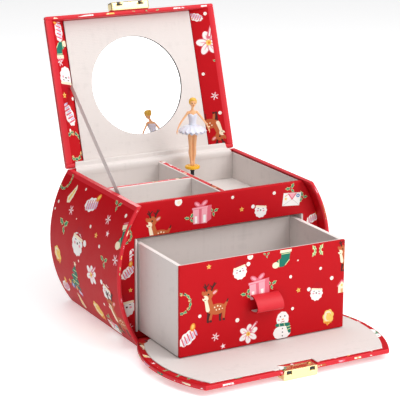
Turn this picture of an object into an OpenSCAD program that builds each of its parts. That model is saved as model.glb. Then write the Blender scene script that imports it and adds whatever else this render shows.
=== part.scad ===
// Ballerina jewellery box: a barrel-sided case with a lift-up lid, a fold-down front flap, one drawer,
// a lined tray and a wind-up music movement that turns a small dancer.
// Origin: middle of the underside. X across, -Y towards the front flap, Z up. Millimetres.
// Stored pose: lid open, flap lying open, drawer pulled out, dancer upright.

/* [Case] */
// Widest outside width of the barrel-sided case
case_w = 190; // [188:1:192]
// Outside depth of the side walls, front rim to back
case_d = 128; // [127:0.5:129]
// Height from the table to the rim of the case
case_h = 112.5; // [112:0.5:113]
// Radius of the barrel curve of the sides
barrel_r = 98.5; // [98:0.5:99]
// Height of the widest point of the barrel
barrel_z = 57; // [56:0.5:58]
// Thickness of the curved side boards
side_t = 3.2; // [3:0.1:3.4]
// Thickness of the flat boards
board_t = 4; // [3.8:0.1:4.2]
// How far the fascia is set back behind the front rims
recess = 11; // [10.5:0.5:11.5]

/* [Tray] */
// Height of the top face of the tray floor
tray_floor_z = 87.5; // [87:0.5:88]
// Height of the top edges of the tray walls and dividers
tray_top_z = 110.3; // [109.5:0.1:110.8]
// Half of the width between the tray's side walls
tray_half_w = 73.8; // [73:0.1:74]
// Middle of the long divider, from the middle of the case
divider_x = 5.3; // [4:0.1:6]
// Thickness of the long divider
divider_t = 5.3; // [4:0.1:6]
// Middle of the cross divider, from the middle of the case
cross_y = 2.8; // [0:0.1:5]

/* [Drawer] */
// Width of the drawer
drawer_w = 144; // [142:0.5:144.5]
// Height of the drawer front
drawer_h = 71; // [69:0.5:72]
// Length of the drawer, front face to back
drawer_len = 78.6; // [76:0.2:79]
// How far the drawer is pulled out
drawer_out = 66.8; // [60:0.2:68]

/* [Lid] */
// Angle that the lid is open in the stored pose
lid_open = 107.9; // [100:0.1:110]
// Depth of the lid, hinge to front face
lid_d = 125.3; // [124:0.1:126]
// Outside height of the lid
lid_h = 16; // [15.5:0.5:17]
// Depth from the lid's rim to its lining
lid_hollow = 8.4; // [8:0.1:8.8]
// Half of the lid's width at its rim
lid_half_w = 78; // [77.5:0.1:78.4]
// Radius of the round window in the lid's lining
mirror_r = 41.4; // [38:0.2:43]

/* [Flap] */
// Thickness of the flap board
flap_t = 4.3; // [4:0.1:4.5]
// Height of the flap's top edge when it stands closed
flap_top_z = 111.1; // [110:0.1:111.3]

/* [Music movement] */
// Distance of the cylinder and of the dancer from the middle of the case, across
spindle_x = 27.5; // [26:0.5:28]
// Distance of the cylinder and of the dancer from the middle of the case, front to back
spindle_y = 45; // [44.5:0.5:45]
// Teeth on the crown wheel that the mainspring turns
crown_teeth = 36; // [36:12:36]
// Leaves on the cylinder's pinion
pinion_leaves = 12; // [12:12:12]
// Teeth on the wheel under the cylinder
wheel_teeth = 40; // [40:2:40]
// Leaves on the governor's pinion
governor_leaves = 10; // [10:2:10]

/* [Dancer] */
// Height of the fold in the dancer's spring
fold_z = 100.3; // [100.1:0.1:100.5]
// Radius of the dancer's base disc
disc_r = 6.3; // [5.8:0.1:6.6]
// Radius of the tutu
tutu_r = 12.2; // [10:0.1:12.6]

/* [Hidden] */

$fn = 96;
seam = 0.05;                       // gap between boards of one body
run_gap = 0.05;                    // radial clearance of the shafts
front_y = -case_d / 2;
back_y = case_d / 2;
barrel_cx = barrel_r - case_w / 2; // offset of each barrel arc's centre
fascia_y = front_y + recess;
fascia_top_z = case_h - 1.1;
sleeve_floor_z = 9.7;              // top face of the sleeve floor, and bottom of the drawer opening
opening_half_w = 75;
opening_top_z = 84.2;
sleeve_t = 1.6;
sleeve_half_w = opening_half_w - seam;
sleeve_back_y = 28;
tray_board_t = 1.4;
tray_front_t = 3.5;
tray_front_y = fascia_y + board_t + tray_front_t;   // inner face of the tray's front wall
tray_back_y = back_y - board_t - tray_board_t;      // inner face of the tray's back wall

hinge_y = back_y;                  // lid hinge axis
hinge_z = case_h + 0.3;
lid_z = case_h + 0.6;              // rim of the closed lid
lid_front_t = 3.5;
lid_back_t = 4;
lid_top_t = 3;
lid_raise = 5;                     // the barrel of the lid is raised, so that its sides start upright
lid_rim_w = 5.3;                   // width of the rim along each side
lid_front_y = back_y - lid_d;
lining_half_w = 58.6;
lining_z = lid_z + lid_hollow;
lining_t = 1.1;
mirror_t = 3.1;
mirror_lap = 2.4;                  // how far the mirror runs under the lining

pivot_y = front_y - 3.3;           // flap hinge axis
pivot_z = 5.5;
flap_in_y = front_y - 0.3;         // inner face of the closed flap
flap_bottom_z = 2.9;
flap_lining_t = 0.8;
clasp_half_w = 14.4;
clasp_h = 9.5;                     // length of the clasp case along the flap
clasp_in_y = flap_in_y - 0.8;
clasp_t = 7.7;
slot_x = 9.9;
slot_y = -67.2;                    // middle of the clasp slots and hooks, flap closed
latch_y = -70.6;

drawer_z = 10;
drawer_t = 3.5;
drawer_y = fascia_y - drawer_out;  // front face of the drawer
tab_half_w = 11.5;
tab_z = 42;

crown_r = 12;
crown_z = 34.5;                    // height of the key and of the crown wheel
pinion_r = crown_r * pinion_leaves / crown_teeth;
pinion_z = crown_z + crown_r;
wheel_r = 10;
wheel_z = 49;
governor_r = wheel_r * governor_leaves / wheel_teeth;
governor_x = spindle_x + wheel_r + governor_r;
cylinder_z0 = 52;
cylinder_z1 = 77;
cylinder_r = 6;
bedplate_y = back_y - board_t - 2;
bedplate_t = 2;
screw_x = [2, 42];
screw_z = 24;
screw_r = 1.5;
housing_y = 52;
housing_r = 13.4;
arbor_r = 2;
spindle_r = 1.2;
spring_half = 2;                   // half of the length of the dancer's spring
disc_z = 104.8;
disc_t = 2.6;
head_z = 160.6;
waist_z = 146;
shoulder_z = 153;
comb_screw_z = [58, 72];
comb_screw_x = 1;
lower_arm_z = 41.9;                // arms that carry the cylinder's arbor
upper_arm_z = 79;
governor_arm_z = [45.5, 74];
bedplate_x = [-4, 48];
batten_x = 55;
hinge_cloth_t = 0.3;

red = "firebrick";
grey = "gainsboro";
gold = "gold";
steel = "silver";
brass = "goldenrod";
skin = "peachpuff";

// ---- shared shapes -------------------------------------------------------------------------------

// An XZ outline made solid from y0 to y1
module along_y(y0, y1) {
    translate([0, y1, 0]) rotate([90, 0, 0]) linear_extrude(y1 - y0) children();
}

// A YZ outline made solid from x0 to x1
module along_x(x0, x1) {
    translate([x0, 0, 0]) rotate([90, 0, 90]) linear_extrude(x1 - x0) children();
}

// The barrel outline, drawn inset mm inside the outer face
module barrel(inset) {
    intersection() {
        translate([barrel_cx, barrel_z]) circle(r = barrel_r - inset, $fn = 180);
        translate([-barrel_cx, barrel_z]) circle(r = barrel_r - inset, $fn = 180);
    }
}

// The barrel outline between two heights
module barrel_band(inset, z0, z1) {
    intersection() {
        barrel(inset);
        translate([-case_w, z0]) square([2 * case_w, z1 - z0]);
    }
}

// A flat rectangle between two corners
module rectangle(low, high) {
    translate(low) square(high - low);
}

// A block between two corners
module block(low, high) {
    translate(low) cube(high - low);
}

// Turns the lid from closed to its stored pose
module opened_lid() {
    translate([0, hinge_y, hinge_z]) rotate([-lid_open, 0, 0]) translate([0, -hinge_y, -hinge_z]) children();
}

// Turns the flap from closed to lying open
module opened_flap() {
    translate([0, pivot_y, pivot_z]) rotate([90, 0, 0]) translate([0, -pivot_y, -pivot_z]) children();
}

// A cylinder along +Y from y0 to y1
module rod_y(x, z, r, y0, y1) {
    translate([x, y1, z]) rotate([90, 0, 0]) cylinder(r = r, h = y1 - y0);
}

// A cylinder along +Z from z0 to z1
module rod_z(x, y, r, z0, z1) {
    translate([x, y, z0]) cylinder(r = r, h = z1 - z0);
}

// A cylinder from point a to point b
module strut(a, b, r1, r2) {
    d = b - a;
    translate(a) rotate([0, acos(d[2] / norm(d)), atan2(d[1], d[0])])
        cylinder(r1 = r1, r2 = r2, h = norm(d), $fn = 32);
}

// A gear outline: straight-flanked teeth on a pitch circle
module gear_outline(teeth, pitch_radius, addendum, dedendum, root_share, tip_share) {
    step = 360 / teeth;
    root = pitch_radius - dedendum;
    tip = pitch_radius + addendum;
    polygon([
        for (i = [0 : teeth - 1], k = [0 : 3])
            let (
                r = (k == 0 || k == 3) ? root : tip,
                share = (k == 0) ? -root_share : (k == 1) ? -tip_share : (k == 2) ? tip_share : root_share,
                a = step * (i + share)
            )
            [r * cos(a), r * sin(a)]
    ]);
}

// ---- case ----------------------------------------------------------------------------------------

module base_board() {
    color(red) along_y(front_y, back_y) barrel_band(side_t + seam, 0, board_t);
}

module side_wall(side) {
    color(red) along_y(front_y, back_y) intersection() {
        difference() {
            barrel_band(0, 0, case_h);
            barrel(side_t);
        }
        translate([side > 0 ? 0 : -case_w, 0]) square([case_w, case_h]);
    }
}

module side_wall_left() side_wall(-1);

module side_wall_right() side_wall(1);

module back_wall() {
    color(red) difference() {
        along_y(back_y - board_t + seam, back_y) barrel_band(side_t + seam, board_t + seam, case_h);
        rod_y(spindle_x, crown_z, arbor_r + 1.5, back_y - board_t - 1, back_y + 1);
        for (x = screw_x) rod_y(x, screw_z, screw_r + 0.05, back_y - board_t - 1, back_y - 1);
    }
}

module fascia() {
    color(red) along_y(fascia_y, fascia_y + board_t) difference() {
        barrel_band(side_t + seam, board_t + seam, fascia_top_z);
        rectangle([-opening_half_w, sleeve_floor_z], [opening_half_w, opening_top_z]);
    }
}

// The grey board housing that the drawer slides in, standing on two battens
module drawer_sleeve() {
    back = fascia_y + board_t + seam;
    color(grey) {
        along_y(fascia_y - 1, sleeve_back_y) difference() {
            rectangle([-sleeve_half_w, sleeve_floor_z + seam], [sleeve_half_w, opening_top_z - seam]);
            rectangle([-sleeve_half_w + sleeve_t, 0], [sleeve_half_w - sleeve_t, case_h]);
        }
        block([-sleeve_half_w, back, sleeve_floor_z - 2], [sleeve_half_w, sleeve_back_y, sleeve_floor_z]);
        block([-sleeve_half_w, sleeve_back_y - sleeve_t, sleeve_floor_z - 1],
              [sleeve_half_w, sleeve_back_y, opening_top_z - seam]);
        for (side = [-1, 1])
            block([side * batten_x - 5, back, board_t + seam],
                  [side * batten_x + 5, sleeve_back_y, sleeve_floor_z - 1]);
    }
}

module tray_floor() {
    color(grey) difference() {
        block([-tray_half_w - tray_board_t, fascia_y + board_t + seam, opening_top_z + seam],
              [tray_half_w + tray_board_t, back_y - board_t, tray_floor_z]);
        rod_z(spindle_x, spindle_y, 3, 80, 95);
    }
}

module tray_side(side) {
    x0 = side > 0 ? tray_half_w : -tray_half_w - tray_board_t;
    color(grey) block([x0, fascia_y + board_t + seam, tray_floor_z + seam],
                      [x0 + tray_board_t, back_y - board_t, tray_top_z]);
}

module tray_wall_left() tray_side(-1);

module tray_wall_right() tray_side(1);

module tray_wall_front() {
    color(grey) block([-tray_half_w + seam, tray_front_y - tray_front_t + seam, tray_floor_z + seam],
                      [tray_half_w - seam, tray_front_y, tray_top_z]);
}

module tray_wall_back() {
    color(grey) block([-tray_half_w + seam, tray_back_y, tray_floor_z + seam],
                      [tray_half_w - seam, tray_back_y + tray_board_t - seam, tray_top_z]);
}

module long_divider() {
    color(grey) block([divider_x - divider_t / 2, tray_front_y + seam, tray_floor_z + seam],
                      [divider_x + divider_t / 2, tray_back_y - seam, tray_top_z]);
}

module cross_divider() {
    color(grey) block([-tray_half_w + seam, cross_y - 2.2, tray_floor_z + seam],
                      [divider_x - divider_t / 2 - seam, cross_y + 2.2, tray_top_z]);
}

// Grey cloth over the back rim of the case and the rim of the lid's back wall
module inner_hinge_cloth() {
    half_w = 69;
    color(grey) {
        block([-half_w, tray_back_y + 0.2, case_h + seam],
              [half_w, back_y - 0.1, case_h + seam + hinge_cloth_t]);
        opened_lid() block([-half_w, back_y - lid_back_t + 0.2, lid_z - seam - hinge_cloth_t],
                           [half_w, back_y - 0.4, lid_z - seam]);
    }
}

// Red leather hinge across the back of the case and of the lid
module outer_hinge_strip() {
    half_w = 72;
    color(red) {
        block([-half_w, back_y + 0.05, case_h - 12], [half_w, back_y + 0.4, case_h - 0.2]);
        opened_lid() block([-half_w + 6, back_y + 0.05, lid_z + 1], [half_w - 6, back_y + 0.4, lid_z + 9]);
    }
}

// Leather hinge between the base board and the flap, under the joint
module flap_hinge_strip() {
    half_w = 70;
    color(red) block([-half_w, pivot_y - 8, flap_bottom_z + 0.75],
                     [half_w, front_y - seam, flap_bottom_z + 1.2]);
}

// ---- music movement ------------------------------------------------------------------------------

// Bedplate against the back wall, with the arms that carry the cylinder, the comb and the governor
module movement_frame() {
    arm = 1.5;
    arm_y0 = spindle_y - 3.5;
    color(brass) difference() {
        union() {
            block([bedplate_x[0], bedplate_y, 17], [bedplate_x[1], bedplate_y + bedplate_t, 82]);
            block([4, arm_y0, lower_arm_z], [spindle_x + 4, spindle_y + 2.5, lower_arm_z + arm]);
            block([4, arm_y0, lower_arm_z], [9, bedplate_y + 1, lower_arm_z + arm]);
            block([spindle_x - 5, arm_y0, upper_arm_z], [spindle_x + 5, bedplate_y + 1, upper_arm_z + arm]);
            for (z = governor_arm_z)
                block([governor_x - 3.5, arm_y0, z], [governor_x + 3.5, bedplate_y + 1, z + arm]);
            block([-3, spindle_y + 1.05, 54], [5, bedplate_y + 1, 76]);
        }
        rod_y(spindle_x, crown_z, arbor_r + run_gap, bedplate_y - 1, bedplate_y + 3);
        rod_z(spindle_x, spindle_y, spindle_r + run_gap, 40, 45);
        rod_z(spindle_x, spindle_y, spindle_r + run_gap, 78, 82);
        rod_z(governor_x, spindle_y, 0.8 + run_gap, 42, 77);
        for (z = comb_screw_z) rod_y(comb_screw_x, z, 1.2, spindle_y, spindle_y + 8);
        for (x = screw_x) rod_y(x, screw_z, screw_r + 0.05, bedplate_y - 1, bedplate_y + 3);
    }
}

module movement_screws() {
    color(steel) for (x = screw_x) {
        rod_y(x, screw_z, 2.8, bedplate_y - 1.6, bedplate_y - seam);
        rod_y(x, screw_z, screw_r, bedplate_y - 0.5, back_y - 1.1);
    }
}

module spring_housing() {
    color(steel) difference() {
        rod_y(spindle_x, crown_z, housing_r, housing_y, bedplate_y - seam);
        rod_y(spindle_x, crown_z, housing_r - 0.8, housing_y + 0.8, bedplate_y - 0.9);
        rod_y(spindle_x, crown_z, arbor_r + run_gap, housing_y - 1, bedplate_y + 1);
    }
}

// Spiral strip between the arbor and the housing wall
module mainspring() {
    turns = 5;
    steps = 24;
    strip_t = 0.5;
    r0 = arbor_r + 0.5;
    pitch = (housing_r - 1.8 - r0) / turns;
    path = [for (i = [0 : turns * steps]) [r0 + pitch * i / steps, 360 * i / steps]];
    inside = [for (p = path) p[0] * [cos(p[1]), sin(p[1])]];
    outside = [for (i = [len(path) - 1 : -1 : 0])
        (path[i][0] + strip_t) * [cos(path[i][1]), sin(path[i][1])]];
    color(steel) translate([spindle_x, 0, crown_z]) along_y(housing_y + 1.6, bedplate_y - 1.7)
        polygon(concat(inside, outside));
}

// Steel comb: 18 teeth reach towards the cylinder
module comb() {
    teeth = 18;
    gap = 0.36;
    tip_x = spindle_x - cylinder_r - 0.9;
    pitch = (cylinder_z1 - cylinder_z0) / teeth;
    color(steel) difference() {
        block([-3, spindle_y, cylinder_z0], [tip_x, spindle_y + 1, cylinder_z1]);
        for (i = [1 : teeth - 1])
            translate([0, 0, cylinder_z0 + pitch * i])
                block([7 + 0.2 * i, spindle_y - 1, -gap / 2], [tip_x + 1, spindle_y + 2, gap / 2]);
        for (z = comb_screw_z) rod_y(comb_screw_x, z, 1.25, spindle_y - 1, spindle_y + 2);
    }
}

module comb_screws() {
    color(steel) for (z = comb_screw_z) {
        rod_y(comb_screw_x, z, 2.2, spindle_y - 1.3, spindle_y - seam);
        rod_y(comb_screw_x, z, 1.15, spindle_y - 0.5, spindle_y + 6);
    }
}

// Black plastic bush in the tray floor, round the dancer's shaft
module shaft_bush() {
    color("black") difference() {
        union() {
            rod_z(spindle_x, spindle_y, 5, tray_floor_z + seam, tray_floor_z + 2);
            rod_z(spindle_x, spindle_y, 2.9, opening_top_z + 0.3, tray_floor_z + 1);
        }
        rod_z(spindle_x, spindle_y, 1.5 + run_gap, 80, 95);
    }
}

module winding_key() {
    hub_r = 3.2;
    color(steel) difference() {
        union() {
            rod_y(spindle_x, crown_z, hub_r, back_y + 2, back_y + 8);
            translate([spindle_x, 0, crown_z]) along_y_wings();
        }
        rod_y(spindle_x, crown_z, arbor_r + 0.02, back_y + 1, back_y + 6);
    }
}

// Two rounded wings of the key, in the XY plane
module along_y_wings() {
    for (side = [-1, 1]) translate([0, 0, -1]) linear_extrude(2) difference() {
        hull() {
            translate([side * 2, back_y + 8]) circle(r = 2.4, $fn = 32);
            translate([side * 8, back_y + 11]) circle(r = 4, $fn = 32);
        }
        translate([side * 8, back_y + 11]) circle(r = 2, $fn = 32);
    }
}

// Arbor with the crown wheel that drives the cylinder's pinion
module drive_arbor() {
    face_y = spindle_y + pinion_r + 1.2;
    tooth_w = 0.6;
    color(brass) {
        rod_y(spindle_x, crown_z, arbor_r, face_y, back_y + 5.9);
        rod_y(spindle_x, crown_z, crown_r + 1.4, face_y, face_y + 1.5);
        translate([spindle_x, 0, crown_z]) for (i = [0 : crown_teeth - 1])
            rotate([0, 360 / crown_teeth * i, 0])
                block([-tooth_w / 2, face_y - 1.8, crown_r - 1.2],
                      [tooth_w / 2, face_y + 0.5, crown_r + 1.2]);
    }
}

// Brass drum with its rows of pins
module music_cylinder() {
    rows = 18;
    pitch = (cylinder_z1 - cylinder_z0) / rows;
    color(brass) difference() {
        union() {
            rod_z(spindle_x, spindle_y, cylinder_r, cylinder_z0, cylinder_z1);
            for (i = [0 : rows - 1], k = [0 : 2])
                translate([spindle_x, spindle_y, cylinder_z0 + pitch * (i + 0.5)])
                    rotate([0, 0, 137.5 * (i + rows * k)])
                        block([cylinder_r - 0.5, -0.15, -0.15], [cylinder_r + 0.5, 0.15, 0.15]);
        }
        rod_z(spindle_x, spindle_y, spindle_r + 0.02, cylinder_z0 - 1, cylinder_z1 + 1);
    }
}

// Arbor with the pinion, the wheel and the shaft that rises to the dancer
module cylinder_arbor() {
    color(steel) {
        rod_z(spindle_x, spindle_y, spindle_r, 41, 83);
        rod_z(spindle_x, spindle_y, 1.5, 82, fold_z - spring_half);
        translate([spindle_x, spindle_y, pinion_z - 1.6]) rotate([0, 0, 180 / pinion_leaves])
            linear_extrude(3.2) gear_outline(pinion_leaves, pinion_r, 0.55, 0.75, 0.2, 0.1);
        translate([spindle_x, spindle_y, wheel_z])
            linear_extrude(1.6) gear_outline(wheel_teeth, wheel_r, 0.35, 0.55, 0.22, 0.11);
    }
}

// Governor: pinion, spindle and two fan blades
module governor() {
    color(brass) {
        rod_z(governor_x, spindle_y, 0.8, 45, 76);
        translate([governor_x, spindle_y, wheel_z - 0.4]) rotate([0, 0, 180 / governor_leaves])
            linear_extrude(2.4) gear_outline(governor_leaves, governor_r, 0.35, 0.55, 0.2, 0.09);
        block([governor_x - 4.6, spindle_y - 0.3, 56], [governor_x + 4.6, spindle_y + 0.3, 70]);
    }
}

// ---- lid -----------------------------------------------------------------------------------------

// The lid's outline between two heights: upright sides that turn into the barrel
module lid_band(z0, z1) {
    intersection() {
        translate([0, lid_raise]) barrel(0);
        rectangle([-lid_half_w, z0], [lid_half_w, z1]);
    }
}

module lid_top() {
    color(red) opened_lid() along_y(lid_front_y, back_y) lid_band(lid_z + lid_h - lid_top_t, lid_z + lid_h);
}

module lid_end_wall(y0, y1) {
    color(red) opened_lid() along_y(y0, y1) lid_band(lid_z, lid_z + lid_h - lid_top_t - seam);
}

module lid_front_wall() lid_end_wall(lid_front_y, lid_front_y + lid_front_t);

module lid_back_wall() lid_end_wall(back_y - lid_back_t, back_y);

// Side of the lid: the barrel carried on outside, a slope down to the lining inside
module lid_side(side) {
    rim_x = lid_half_w - lid_rim_w;
    y0 = lid_front_y + lid_front_t + seam;
    color(red) opened_lid() along_y(y0, back_y - lid_back_t - seam) intersection() {
        lid_band(lid_z, lid_z + lid_h - lid_top_t - seam);
        polygon([
            [side * rim_x, lid_z - 1],
            [side * rim_x, lid_z],
            [side * (lining_half_w + 0.8), lining_z + 0.6],
            [side * (lining_half_w + 0.8), lid_z + lid_h],
            [side * case_w, lid_z + lid_h],
            [side * case_w, lid_z - 1]
        ]);
    }
}

module lid_side_left() lid_side(-1);

module lid_side_right() lid_side(1);

// Grey board with the round window, and a pocket for the mirror behind it
module lid_lining() {
    mid_y = (lid_front_y + lid_front_t + back_y - lid_back_t) / 2;
    color(grey) opened_lid() difference() {
        block([-lining_half_w, lid_front_y + lid_front_t + 0.3, lining_z],
              [lining_half_w, back_y - lid_back_t - 0.3, lid_z + lid_h - lid_top_t - seam]);
        rod_z(0, mid_y, mirror_r, lining_z - 1, lid_z + lid_h);
        rod_z(0, mid_y, mirror_r + mirror_lap, lining_z + lining_t, lid_z + lid_h);
    }
}

module mirror() {
    mid_y = (lid_front_y + lid_front_t + back_y - lid_back_t) / 2;
    glass_z = lining_z + lining_t;
    color("lightblue") opened_lid()
        rod_z(0, mid_y, mirror_r + mirror_lap - 0.1, glass_z + seam, glass_z + mirror_t);
}

// Upper half of the clasp: a block on the lid's front with two hooks under it
module clasp_plate() {
    color(gold) opened_lid() {
        difference() {
            block([-17.5, lid_front_y - 7.5, lid_z - 0.2], [17.5, lid_front_y - 0.02, lid_z + 8]);
            block([-16.7, lid_front_y - 6.7, lid_z + 0.8], [16.7, lid_front_y - 1, lid_z + 9]);
        }
        for (side = [-1, 1]) {
            block([side * slot_x - 1.4, slot_y - 0.6, lid_z - 5],
                  [side * slot_x + 1.4, slot_y + 0.6, lid_z + 0.5]);
            block([side * slot_x - 1.4, slot_y - 0.6, lid_z - 5],
                  [side * slot_x + 1.4, slot_y + 1.1, lid_z - 3.8]);
        }
    }
}

// Grey satin ribbon from the tray's left wall to the lid's left slope
module lid_stay_ribbon() {
    half_w = 2.7;
    half_t = 0.2;
    a = [-tray_half_w + half_t + seam, -26.5, tray_top_z - 1.7];
    b = [-61.4, 90.3, 175.2];
    d = (b - a) / norm(b - a);
    n = cross([1, 0, 0], d);
    across = n / norm(n);
    through = cross(across, d);
    color(grey) polyhedron(
        points = [for (p = [a, b], s = [-1, 1], t = [-1, 1]) p + s * half_w * across + t * half_t * through],
        faces = [[0, 1, 3, 2], [4, 6, 7, 5], [0, 4, 5, 1], [1, 5, 7, 3], [3, 7, 6, 2], [2, 6, 4, 0]]
    );
}

// ---- flap ----------------------------------------------------------------------------------------

module flap_board() {
    color(red) opened_flap() difference() {
        along_y(flap_in_y - flap_t, flap_in_y) barrel_band(0, flap_bottom_z, flap_top_z);
        block([-clasp_half_w - 0.2, flap_in_y - 9, flap_top_z - clasp_h + 0.6],
              [clasp_half_w + 0.2, flap_in_y + 1, flap_top_z + 2]);
    }
}

module flap_lining() {
    color(grey) opened_flap() along_y(flap_in_y + 0.02, flap_in_y + flap_lining_t) difference() {
        barrel_band(5.5, flap_bottom_z + 6, flap_top_z - 4.6);
        translate([-clasp_half_w - 1, flap_top_z - clasp_h - 0.4]) square([2 * clasp_half_w + 2, clasp_h]);
    }
}

// Lower half of the clasp: a hollow case let into the flap's free edge, with two slots for the hooks
module clasp_case() {
    top = flap_top_z + 0.9;
    bottom = top - clasp_h;
    wall = 0.8;
    out_y = clasp_in_y - clasp_t;
    color(gold) opened_flap() difference() {
        block([-clasp_half_w, out_y, bottom], [clasp_half_w, clasp_in_y, top]);
        block([-clasp_half_w + wall, out_y + wall, bottom + wall],
              [clasp_half_w - wall, clasp_in_y - wall, top - wall]);
        for (side = [-1, 1]) {
            block([side * slot_x - 2.2, slot_y - 1.3, top - 2], [side * slot_x + 2.2, slot_y + 1.5, top + 1]);
            block([side * clasp_half_w - 1.5, latch_y - 1.1, bottom + 2.2],
                  [side * clasp_half_w + 1.5, latch_y + 1.1, bottom + 5.8]);
        }
    }
}

// Two rivet heads that hold the clasp's two halves
module clasp_rivets() {
    color(gold) opened_flap() for (side = [-1, 1])
        translate([side * 11, flap_in_y - 0.7, flap_top_z - 6]) rotate([-90, 0, 0])
            cylinder(r = 1.5, h = 0.7, $fn = 32);
}

// Sliding ear beside the clasp case, with the bar that reaches inside
module latch_button(side) {
    bottom = flap_top_z + 0.9 - clasp_h;
    color(gold) opened_flap() {
        hull() {
            for (z = [bottom + 2.6, bottom + 6.6])
                translate([side * 18.8, clasp_in_y - clasp_t + 3, z]) rotate([90, 0, 0])
                    cylinder(r = 2.2, h = 2.6, $fn = 32);
        }
        block([min(side * 10.4, side * 19), latch_y - 0.7, bottom + 2.6],
              [max(side * 10.4, side * 19), latch_y + 0.7, bottom + 5.4]);
    }
}

module latch_button_left() latch_button(-1);

module latch_button_right() latch_button(1);

// Coil that pushes a button out, as a plain tube of its outer size
module latch_spring(side) {
    bottom = flap_top_z + 0.9 - clasp_h;
    color(steel) opened_flap()
        translate([side * 5.2, latch_y, bottom + 4]) rotate([0, 90 * side, 0]) difference() {
            cylinder(r = 1.1, h = 5, $fn = 32);
            translate([0, 0, -1]) cylinder(r = 0.7, h = 7, $fn = 32);
        }
}

module latch_spring_left() latch_spring(-1);

module latch_spring_right() latch_spring(1);

// ---- drawer --------------------------------------------------------------------------------------

module drawer_front() {
    color(red) block([-drawer_w / 2, drawer_y, drawer_z],
                     [drawer_w / 2, drawer_y + drawer_t, drawer_z + drawer_h]);
}

module drawer_side(side) {
    x0 = side > 0 ? drawer_w / 2 - drawer_t : -drawer_w / 2;
    color(grey) block([x0, drawer_y + drawer_t + seam, drawer_z],
                      [x0 + drawer_t, drawer_y + drawer_len, drawer_z + drawer_h]);
}

module drawer_left() drawer_side(-1);

module drawer_right() drawer_side(1);

module drawer_back() {
    x = drawer_w / 2 - drawer_t - seam;
    color(grey) block([-x, drawer_y + drawer_len - drawer_t, drawer_z],
                      [x, drawer_y + drawer_len, drawer_z + drawer_h]);
}

module drawer_bottom() {
    x = drawer_w / 2 - drawer_t - seam;
    color(grey) block([-x, drawer_y + drawer_t + seam, drawer_z],
                      [x, drawer_y + drawer_len - drawer_t - seam, drawer_z + 3]);
}

// Folded leather loop on the drawer front
module pull_tab() {
    root = drawer_y - seam;
    color(red) along_x(-tab_half_w, tab_half_w) difference() {
        polygon([[root, tab_z + 7], [root - 4, tab_z + 6], [root - 8, tab_z + 3], [root - 10.3, tab_z - 1],
                 [root - 9, tab_z - 3], [root - 5, tab_z - 4.6], [root, tab_z - 5]]);
        polygon([[root - 1.4, tab_z + 5.2], [root - 3.8, tab_z + 4.4], [root - 7, tab_z + 2],
                 [root - 8.8, tab_z - 1],
                 [root - 8.4, tab_z - 1.8], [root - 5, tab_z - 3.1], [root - 1.4, tab_z - 3.4]]);
    }
}

// ---- dancer --------------------------------------------------------------------------------------

// Closed-coil spring that bends as the lid comes down, as a plain tube of its outer size
module dancer_spring() {
    color("dimgray") difference() {
        rod_z(spindle_x, spindle_y, 1.6, fold_z - spring_half + seam, fold_z + spring_half - seam);
        rod_z(spindle_x, spindle_y, 1.1, fold_z - 2 * spring_half, fold_z + 2 * spring_half);
    }
}

module spring_collar() {
    color("black") rod_z(spindle_x, spindle_y, 1.8, fold_z + spring_half, disc_z - 0.3);
}

module base_disc() {
    color("gold") rod_z(spindle_x, spindle_y, disc_r, disc_z, disc_z + disc_t);
}

// Head, neck, arms, torso core and legs
module dancer_body() {
    foot_z = disc_z + disc_t + seam;
    hip_z = waist_z - 7.6;
    elbow = [9.4, -0.6, waist_z - 0.5];
    hand = [13.7, -1.6, waist_z - 8.6];
    color(skin) translate([spindle_x, spindle_y, 0]) {
        for (side = [-1, 1]) {
            strut([side * 0.8, -0.3, foot_z], [side * 1.4, 0, foot_z + 14], 0.7, 1.5);
            strut([side * 1.4, 0, foot_z + 13.9], [side * 1.9, 0, hip_z + 0.1], 1.5, 2);
            strut([side * 3.1, 0, shoulder_z - 0.8], [side * elbow[0], elbow[1], elbow[2]], 1.2, 0.9);
            strut([side * (elbow[0] - 0.1), elbow[1], elbow[2] + 0.1],
                  [side * hand[0], hand[1], hand[2]], 0.9, 0.6);
        }
        rod_z(0, 0, 2.6, hip_z, waist_z);
        strut([0, 0, waist_z - 0.1], [0, 0, shoulder_z], 2.3, 3.3);
        rod_z(0, 0, 1.2, shoulder_z - 0.1, head_z - 2.6);
        translate([0, -0.2, head_z]) sphere(r = 3.4, $fn = 48);
    }
}

module dancer_hair() {
    color("khaki") translate([spindle_x, spindle_y, 0]) difference() {
        union() {
            translate([0, 0.5, head_z + 0.6]) sphere(r = 3.7, $fn = 48);
            translate([0, 1.6, head_z + 3.6]) sphere(r = 1.7, $fn = 32);
        }
        translate([0, -0.2, head_z]) sphere(r = 3.42, $fn = 48);
        block([-5, -5, shoulder_z], [5, 5, head_z - 1.2]);
        block([-5, -6, shoulder_z], [5, -2.2, head_z + 1.9]);
    }
}

module dancer_bodice() {
    low = waist_z - 3.8;
    color("white") translate([spindle_x, spindle_y, 0]) difference() {
        rotate_extrude()
            polygon([[0, low], [3, low], [2.8, waist_z], [3.7, waist_z + 5.6], [0, waist_z + 5.6]]);
        rod_z(0, 0, 2.65, low - 1, waist_z + 0.1);
        strut([0, 0, waist_z - 0.1], [0, 0, shoulder_z], 2.36, 3.36);
        for (side = [-1, 1])
            strut([side * 3.1, 0, shoulder_z - 0.8], [side * 9.4, -0.6, waist_z - 0.5], 1.25, 0.95);
    }
}

module dancer_tutu() {
    color("white") translate([spindle_x, spindle_y, waist_z]) rotate_extrude() polygon([
        [2.7, -3.9], [4.2, -3.9], [8, -6], [tutu_r, -8.6], [tutu_r, -9.6],
        [7, -8.4], [4.4, -7], [4.4, -7.4], [2.7, -7.4]
    ]);
}

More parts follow.
